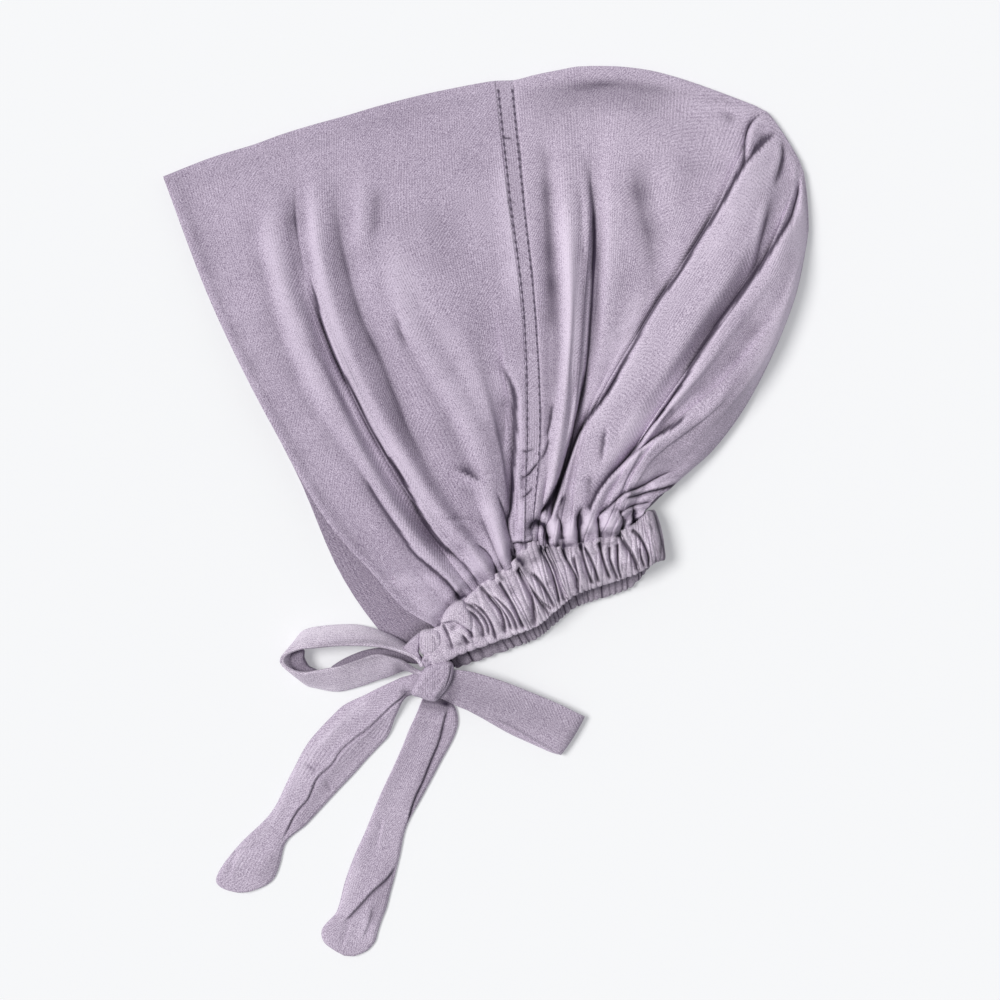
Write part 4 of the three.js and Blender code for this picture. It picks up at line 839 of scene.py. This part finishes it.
tie = {"tuck": 3.5, "width": 15.0, "thickness": 2.4, "stations": 220, "knotX": 0.418, "knotY": 1.013,
       "creaseBy": 1.6, "creasePower": 1.5, "least": 0.1, "each": 6, "wrap": 1.02}
stripSection = [(-0.5, -0.28), (-0.5, 0.2), (-0.44, 0.42), (-0.3, 0.5), (-0.15, 0.5), (0, 0.5), (0.15, 0.5), (0.3, 0.5),
                (0.44, 0.42), (0.5, 0.2), (0.5, -0.28), (0, -0.5)]
strips = {  # rows: x and y as shares of the length, height and width as shares of a tie's width, facing and tilt
    "tail_left": {"length": 129, "thick": 0.8, "into": 7.0, "rows": [
    (-0.035, -0.005, 0.473, 0.51, -74, 5),
    (-0.07, -0.02, 0.433, 0.548, -72, 7),
    (-0.097, -0.028, 0.367, 0.543, -65, 7),
    (-0.168, -0.085, 0.22, 0.937, -40, 2),
    (-0.238, -0.155, 0.1, 1.487, -34, 1),
    (-0.327, -0.25, 0.073, 1.515, -29, 0),
    (-0.405, -0.357, 0.073, 1.284, -24, 0),
    (-0.485, -0.472, 0.073, 1.036, -14, 0),
    (-0.567, -0.55, 0.073, 1.148, -3, 0),
    (-0.602, -0.613, 0.073, 1.409, -5, 0),
    (-0.628, -0.665, 0.073, 1.577, 1, 0),
    (-0.637, -0.694, 0.073, 1.319, 2, 0),
    (-0.638, -0.711, 0.073, 0.775, 3, 0),
    (-0.638, -0.718, 0.073, 0.316, 3, 0),
    ]},
    "tail_right": {"length": 126, "thick": 0.8, "into": 6.0, "rows": [
    (0.003, -0.039, 0.213, 0.574, 3, 0),
    (0.015, -0.106, 0.093, 1.005, -3, 0),
    (-0.007, -0.193, 0.073, 1.321, 4, 0),
    (-0.056, -0.297, 0.073, 1.234, 3, 0),
    (-0.109, -0.403, 0.073, 1.147, 0, 0),
    (-0.159, -0.51, 0.073, 1.061, 2, 0),
    (-0.195, -0.618, 0.073, 1.205, -3, 0),
    (-0.225, -0.717, 0.073, 1.267, -5, 0),
    (-0.249, -0.804, 0.073, 1.264, -4, 0),
    (-0.287, -0.872, 0.073, 1.493, -3, 0),
    (-0.29, -0.911, 0.073, 1.32, -2, 0),
    (-0.287, -0.939, 0.073, 0.804, -3, 0),
    (-0.288, -0.953, 0.073, 0.316, -3, 0),
    ]},
    "loop_right": {"length": 66, "into": 8.0, "rows": [
    (0.062, -0.02, 0.7, 0.82, -100, 0),
    (0.208, -0.062, 0.633, 0.99, -107, 0),
    (0.381, -0.121, 0.52, 1.06, -117, 0),
    (0.573, -0.199, 0.413, 1.08, -119, 0),
    (0.749, -0.287, 0.347, 1.18, -119, 0),
    (0.873, -0.352, 0.32, 1.21, -121, 0),
    (0.909, -0.371, 0.2, 1.22, -122, 0),
    (0.87, -0.365, 0.08, 1.22, -121, 0),
    (0.743, -0.313, 0.08, 1.21, -121, 0),
    (0.567, -0.238, 0.12, 1.16, -120, 0),
    (0.378, -0.147, 0.227, 1.03, -120, 0),
    (0.208, -0.075, 0.347, 0.88, -109, 0),
    (0.075, -0.029, 0.413, 0.73, -101, 0),
    ]},
    "loop_left": {"length": 62, "into": 9.0, "rows": [
    (-0.1, 0.155, 0.6, 0.6, 100, 80),
    (-0.208, 0.222, 0.587, 0.62, 95, 68),
    (-0.347, 0.274, 0.523, 0.72, 85, 60),
    (-0.576, 0.305, 0.453, 0.86, 90, 53),
    (-0.791, 0.291, 0.427, 0.86, 93, 53),
    (-0.922, 0.264, 0.42, 0.81, 84, 58),
    (-0.992, 0.2, 0.417, 0.76, 39, 64),
    (-1.005, 0.13, 0.417, 0.76, 0, 64),
    (-0.961, 0.041, 0.417, 0.76, -45, 62),
    (-0.86, -0.003, 0.417, 0.79, -80, 57),
    (-0.68, 0.0, 0.427, 0.97, -90, 45),
    (-0.517, 0.042, 0.453, 1.0, -80, 44),
    (-0.357, 0.094, 0.54, 0.95, -76, 44),
    (-0.229, 0.1, 0.617, 0.72, -80, 60),
    (-0.118, 0.055, 0.62, 0.5, -88, 80),
    ]},
}
knotMiddle = np.array([tie["knotX"], tie["knotY"], 0]) * [*planSize, 0]


def roundSection(points, each):  # a smooth closed line through a section's points
    points = np.array(points, float)
    out = []
    for i in range(len(points)):
        a, b, c, d = (points[(i + k) % len(points)] for k in (-1, 0, 1, 2))
        for u in np.arange(each) / each:
            out.append(b + 0.5 * u * (c - a + u * (2 * a - 5 * b + 4 * c - d + u * (3 * (b - c) + d - a))))
    return np.array(out)


def stripPiece(name, settings):
    rows = np.array(settings["rows"], float)
    middles = rows[:, :3] * [settings["length"], settings["length"], tie["width"]] + knotMiddle
    into = knotMiddle + [0, 0, settings["into"]]
    middles = np.vstack([middles[0] + unit(into - middles[0]) * tie["tuck"], middles])
    rows = np.vstack([rows[0], rows])
    isTail = name.startswith("tail")
    if not isTail:  # a loop ends in the knot too
        middles = np.vstack([middles, middles[-1] + unit(into - middles[-1]) * tie["tuck"]])
        rows = np.vstack([rows, rows[-1]])
    chord = lengths(middles)
    at = np.linspace(0, chord[-1], tie["stations"])
    middle = through(chord, middles, at)
    wide, facing, tilt = (through(chord, rows[:, k], at) for k in (3, 4, 5))
    facing, tilt = np.radians(facing), np.radians(tilt)
    across = np.stack([np.cos(tilt) * np.cos(facing), np.cos(tilt) * np.sin(facing), -np.sin(tilt)], -1)
    normal = unit(np.cross(across, np.gradient(middle, axis=0)))
    section = roundSection(stripSection, tie["each"])
    grid = (middle[:, None] + across[:, None] * (section[None, :, :1] * wide[:, None, None] * tie["width"])
            - normal[:, None] * (section[None, :, 1:] * tie["thickness"])) + shift
    crease = np.zeros(grid.shape[:2])
    shaded = section[:, 1] > 0.1 if isTail else np.full(len(section), True)  # a tail's top, a loop all round
    if isTail:
        lift = brushed(grid[:, shaded], tieStrokes)
        grid[:, shaded, 2] += lift * settings["thick"]
        # painted shade in the tail's creases
        crease[:, shaded] = np.clip(-lift / tie["creaseBy"], 0, 1) ** tie["creasePower"]
    crease[:, shaded] += brushed(grid[:, shaded], tieShades)
    grid[..., 2] = np.maximum(grid[..., 2], tie["least"])
    around = lengths(grid[40]) / uvSize
    uv = np.stack([np.broadcast_to(around, grid.shape[:2]), np.broadcast_to(at[:, None] / uvSize, grid.shape[:2])], -1)
    return meshFrom(name + "_strip", grid, uv, crease, closed=True, wrap=around[-1] * tie["wrap"])


stripObjs = {name: stripPiece(name, settings) for name, settings in strips.items()}

lump = {"points": 96, "rings": 61, "least": 0.02, "creaseBy": 0.9, "upFrom": 0.35, "upTo": 0.7,
        "footFrom": 0.3, "footTo": 0.72, "insideShade": 0.62}
lumpColumns = ("name", "low", "high", "dome", "outline")
# the knot and the folds of cloth at the casing's end and in the left loop: lowest and highest place in millimetres,
# roundness of the top, and the outline's places as above
lumpRows = rowsOf("""
tie_knot 5.2 15.6 .34 | 427,665 434,662 441,660 448,660 453,663 454,671 451,681 446,690 440,697 435,701 428,700
  420,697 413,695 411,690 414,684 418,677 422,670
casing_puff 5 15.2 .42 | 420,632 424,629 431,628 438,628 441,631 444,637 446,642 441,648 436,652 431,656 426,655
  421,653 419,645 419,638
tie_lead 4 12.6 .3 | 446,640 452,645 456,651 451,656 444,659 437,661 432,662 429,659 431,655 436,650 441,645
tie_strand 6.5 13 .3 | 420,632 421,638 420,645 419,652 421,658 418,660 413,657 409,654 406,650 404,647 408,642 413,637
loop_inside_turn 1.5 7.5 .3 | 283,656 290,652 303,650 304,658 309,667 318,672 306,675 297,674 289,669 284,663
loop_inside_fold 3.5 8.2 .3 | 330,669 340,661 352,655 366,650 384,648 400,651 414,658 420,664 408,663 396,658 382,656
  368,659 354,667 342,672
casing_swell 8.5 17.2 .4 | 441,622 444,613 449,606 456,601 463,600 467,605 471,613 474,622 473,631 467,628 457,622
  449,621
tie_turn 6 14.2 .42 | 424,655 428,654 432,657 434,661 431,665 427,667 423,665 421,661
""")
lumps = table(lumpColumns, [(name, *map(float, numbers), [placeOf(p) for p in outline])
                            for (name, *numbers), outline in lumpRows])


def smoothLoop(points, count):  # a closed line through points, evenly spaced
    line = roundSection(points, 12)
    line = np.vstack([line, line[:1]])
    chord = lengths(line)
    at = np.arange(count) / count * chord[-1]
    return np.stack([np.interp(at, chord, line[:, k]) for k in (0, 1)], -1)


def lumpPiece(name, row):  # a soft rounded form over its outline
    line = smoothLoop(row["outline"], lump["points"])
    middle = line.mean(axis=0)
    rings, half = [], (row["high"] - row["low"]) / 2
    for turn in np.linspace(-math.pi / 2, math.pi / 2, lump["rings"]):
        spread = max(np.cos(turn), lump["least"]) ** row["dome"]
        ring = middle + (line - middle) * spread
        rings.append(np.column_stack([ring, np.full(len(ring), row["low"] + half * (1 + math.sin(turn)))]))
    grid = np.array(rings)
    share = np.linspace(0, 1, len(grid))[:, None]
    lift = brushed(grid, knotStrokes) * smooth(lump["upFrom"], lump["upTo"], share)
    grid[..., 2] += lift
    # painted shade in the knot's creases and around each lump's lower rim
    crease = np.maximum(np.clip(-lift / lump["creaseBy"], 0, 1), 1 - smooth(lump["footFrom"], lump["footTo"], share))
    if name.startswith("loop_inside"):  # it lies in the loop's shade
        crease[:] = lump["insideShade"]
    return meshFrom(name, grid, grid[..., :2] / uvSize, crease, closed=True)


lumpObjs = {row["name"]: lumpPiece(row["name"], row) for row in lumps}
knotObj = lumpObjs["tie_knot"]


def stitchRow(grid, column):  # middles and directions of a row's stitches
    line = grid[len(grid) - seamRows:, column]
    chord = lengths(line)
    spots = np.arange(stitch["first"] + stitch["pitch"] / 2, chord[-1] - stitch["last"], stitch["pitch"])
    points, ahead = (np.stack([np.interp(at, chord, line[:, k]) for k in range(3)], -1) for at in (spots, spots + 0.5))
    return points, unit(ahead - points)


def stitchPiece():
    bpy.ops.object.select_all(action="DESELECT")
    bpy.ops.mesh.primitive_uv_sphere_add(segments=8, ring_count=6, radius=0.5)
    seed = bpy.context.active_object
    shape = np.array([v.co[:] for v in seed.data.vertices])
    faces = [tuple(p.vertices) for p in seed.data.polygons]
    bpy.data.objects.remove(seed)
    verts, allFaces = [], []
    for column in stitch["columns"]:
        for p, way in zip(*stitchRow(seamGrid, column)):
            side = unit(np.cross(way, [0, 0, 1.0]))
            up = np.cross(side, way)
            body = (shape[:, 2:] * way * stitch["long"] + shape[:, :1] * side * stitch["thick"]
                    + shape[:, 1:2] * up * stitch["thick"])
            allFaces += [tuple(i + len(verts) * len(shape) for i in f) for f in faces]
            verts.append(p + up * (cloth["thickness"] / 2 - stitch["sunk"]) + body)
    mesh = bpy.data.meshes.new("seam_stitches")
    mesh.from_pydata((np.vstack(verts) / 1000).tolist(), [], allFaces)
    mesh.polygons.foreach_set("use_smooth", [True] * len(mesh.polygons))
    return placed("seam_stitches", mesh)


stitches = stitchPiece()


class Value:  # a socket's number or colour; sums on it add their Math nodes
    def __init__(self, shader, socket):
        self.shader, self.socket = shader, socket

    def math(self, operation, a, b):
        return self.shader.node("ShaderNodeMath", {"operation": operation}, {0: a, 1: b})

    def __add__(self, other):
        return self.math("ADD", self, other)

    def __sub__(self, other):
        return self.math("SUBTRACT", self, other)

    def __rsub__(self, other):
        return self.math("SUBTRACT", other, self)

    def __mul__(self, other):
        return self.math("MULTIPLY", self, other)


class Shader:
    def __init__(self, name):
        self.material = bpy.data.materials.new(name)
        self.material.use_nodes = True
        self.tree = self.material.node_tree
        self.tree.nodes.clear()

    def node(self, kind, settings=None, inputs=None, output=0):
        made = self.tree.nodes.new(kind)
        for name, value in (settings or {}).items():
            setattr(made, name, value)
        for name, value in (inputs or {}).items():
            if isinstance(value, Value):
                self.tree.links.new(value.socket, made.inputs[name])
            else:
                made.inputs[name].default_value = value
        return Value(self, made.outputs[output]) if len(made.outputs) else None

    def noise(self, **settings):
        place = self.node("ShaderNodeTexCoord", output=3)
        return self.node("ShaderNodeTexNoise", inputs={"Vector": place, **settings})

    def blend(self, factor, dark, light):
        return self.node("ShaderNodeMix", {"data_type": "RGBA", "clamp_factor": True},
                         {0: factor, 6: dark, 7: light}, output=2)

    def finished(self, **body):
        surface = self.node("ShaderNodeBsdfPrincipled", inputs={k.replace("_", " "): v for k, v in body.items()})
        self.node("ShaderNodeOutputMaterial", inputs={"Surface": surface})
        return self.material


def tone(text):  # a colour written as it looks, made linear for the shader
    parts = [int(text[i:i + 2], 16) / 255 for i in (0, 2, 4)]
    return tuple(p / 12.92 if p <= 0.04045 else ((p + 0.055) / 1.055) ** 2.4 for p in parts) + (1.0,)


finish = {"fleck": 2700.0, "fleckShow": 4.6, "patch": 26.0, "patchShow": 0.4, "wander": 160.0,
          "worn": 70.0, "wornFrom": 0.42, "wornTo": 0.6, "wales": 600.0, "waleAcross": 0.8, "waleDown": 0.6,
          "waleWander": 2.0, "ribs": 620.0, "ribWander": 1.5, "waleShow": 0.13, "waleBump": 0.3, "fleckBump": 0.9,
          "bump": 0.6, "bumpDeep": 0.0003, "paintedShadeShow": 0.85, "paintedHighlightShow": 0.7, "deep": "3b3044"}


def jersey(name, dark, light):  # a fine knit whose rows turn from ribs to a slant where the cloth is worn
    s = Shader(name)
    uv = s.node("ShaderNodeUVMap", {"uv_map": "cloth"})
    across, down = (s.node("ShaderNodeSeparateXYZ", inputs={0: uv}, output=k) for k in (0, 1))
    fleck = s.noise(Scale=finish["fleck"], Detail=2.0, Roughness=0.8)
    patch = s.noise(Scale=finish["patch"], Detail=2.0)
    worn = s.noise(Scale=finish["worn"], Detail=1.0)
    wander = s.noise(Scale=finish["wander"], Detail=1.0)
    slant = (across * finish["waleAcross"] + down * finish["waleDown"]) * finish["wales"]
    slant = slant + wander * finish["waleWander"]
    twill = s.node("ShaderNodeMath", {"operation": "SINE"}, {0: slant})
    upright = across * finish["ribs"] + wander * finish["ribWander"]
    rib = s.node("ShaderNodeMath", {"operation": "SINE"}, {0: upright})
    clear = s.node("ShaderNodeMapRange", inputs={
        "Value": worn, "From Min": finish["wornFrom"], "From Max": finish["wornTo"]})
    wale = twill * clear + rib * (1.0 - clear)
    # painted shade toward a dark tone in creases and a painted highlight on ridges, read from the mesh's attribute
    crease = s.node("ShaderNodeAttribute", {"attribute_name": "crease"}, output=2)
    paintedHighlight = s.node("ShaderNodeMath", {"operation": "MINIMUM"}, {0: crease, 1: 0.0})
    shade = (paintedHighlight * -finish["paintedHighlightShow"] + (fleck - 0.5) * finish["fleckShow"] + (patch - 0.5) * finish["patchShow"]
             + wale * finish["waleShow"] + 0.5)
    color = s.blend(crease * finish["paintedShadeShow"], s.blend(shade, tone(dark), tone(light)), tone(finish["deep"]))
    height = wale * finish["waleBump"] + fleck * finish["fleckBump"]
    bump = s.node("ShaderNodeBump", inputs={
        "Strength": finish["bump"], "Distance": finish["bumpDeep"], "Height": height})
    return s.finished(Base_Color=color, Roughness=0.88, Sheen_Weight=0.12, Sheen_Roughness=0.45,
                      Sheen_Tint=(0.95, 0.9, 1.0, 1.0), Specular_IOR_Level=0.25, Normal=bump)


# the cap's one jersey in lighter and darker copies: the front darker as painted shade; the back, casing and left loop
# lighter as painted light, the left loop lightest for its lit strand
shadedFrontCloth = jersey("jersey_front_cloth_painted_shade", "807188", "d5c8dc")
litBackCloth = jersey("jersey_back_cloth_painted_light", "8e7f96", "e0d3e6")
bandCloth = jersey("jersey_band_cloth", "87788e", "d3c7da")
litCasingCloth = jersey("jersey_casing_cloth_painted_light", "9c8da3", "ede2f1")
litLoopCloth = jersey("jersey_loop_cloth_painted_light", "a394aa", "f2e8f6")
tieCloth = jersey("jersey_tie_cloth", "8f8096", "ddd1e3")
threadShader = Shader("seam_thread")
thread = threadShader.finished(Roughness=0.7, Base_Color=threadShader.blend(
    threadShader.noise(Scale=2500.0), tone("5f5369"), tone("7d7086")))


def dressed(obj, material, node=None):
    obj.data.materials.append(material)
    if node:
        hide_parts(node)
    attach(obj, "root")


dressed(front, shadedFrontCloth, "front_panel")
dressed(back, litBackCloth, "back_panel")
dressed(seam, bandCloth, "crown_seam")
dressed(casingObj, litCasingCloth, "neck_casing")
dressed(knotObj, tieCloth, "bow_knot")
dressed(stripObjs["loop_left"], litLoopCloth, "bow_loop_left")
dressed(stripObjs["loop_right"], tieCloth, "bow_loop_right")
dressed(stripObjs["tail_left"], tieCloth, "tie_tail_left")
dressed(stripObjs["tail_right"], tieCloth, "tie_tail_right")
for name, obj in lumpObjs.items():
    if name.startswith("casing"):
        dressed(obj, litCasingCloth)
    elif obj is not knotObj:
        dressed(obj, tieCloth)
dressed(stitches, thread)
print("dressed all pieces")

studio = {"floor": 20.0, "floorLow": 0.0002, "floorTone": "d6d7d9",
          "floorGlow": 0.23, "glowColor": (0.985, 0.99, 1.0, 1.0),
          "sun": 2.6, "sunAngle": 26, "sunFrom": (-0.54, 0.12, 0.83), "sunColor": (1.0, 0.99, 0.97),
          "sky": 0.37, "skyColor": (0.96, 0.975, 1.0, 1.0),
          "lens": 85.0, "sensor": 36, "frameWide": 0.43, "aim": (0.0060, 0.0049, 0.008)}
bpy.ops.object.select_all(action="DESELECT")
bpy.ops.mesh.primitive_plane_add(size=studio["floor"], location=(0, 0, -studio["floorLow"]))
floor = bpy.context.active_object
floor.name = "studio_floor"
floor.data.materials.append(Shader("studio_paper").finished(
    Base_Color=tone(studio["floorTone"]), Roughness=0.9, Specular_IOR_Level=0.1,
    Emission_Color=studio["glowColor"], Emission_Strength=studio["floorGlow"]))

world = bpy.data.worlds.new("studio")
bpy.context.scene.world = world
world.use_nodes = True
sky = world.node_tree.nodes["Background"]
sky.inputs["Color"].default_value = studio["skyColor"]
sky.inputs["Strength"].default_value = studio["sky"]

sunData = bpy.data.lights.new("window_light", "SUN")
sunData.energy = studio["sun"]
sunData.angle = math.radians(studio["sunAngle"])
sunData.color = studio["sunColor"]
sun = bpy.data.objects.new("window_light", sunData)
bpy.context.scene.collection.objects.link(sun)
sx, sy, sz = studio["sunFrom"]
sun.location = studio["sunFrom"]
sun.rotation_euler = (math.atan2(math.hypot(sx, sy), sz), 0, math.atan2(sx, -sy))

cameraData = bpy.data.cameras.new("camera")
cameraData.lens = studio["lens"]
cameraData.sensor_width = studio["sensor"]
camera = bpy.data.objects.new("camera", cameraData)
bpy.context.scene.collection.objects.link(camera)
aimX, aimY, aimZ = studio["aim"]
camera.location = (aimX, aimY, aimZ + studio["frameWide"] * studio["lens"] / studio["sensor"])
bpy.context.scene.camera = camera
bpy.context.scene.view_settings.view_transform = "Standard"
print("studio set")
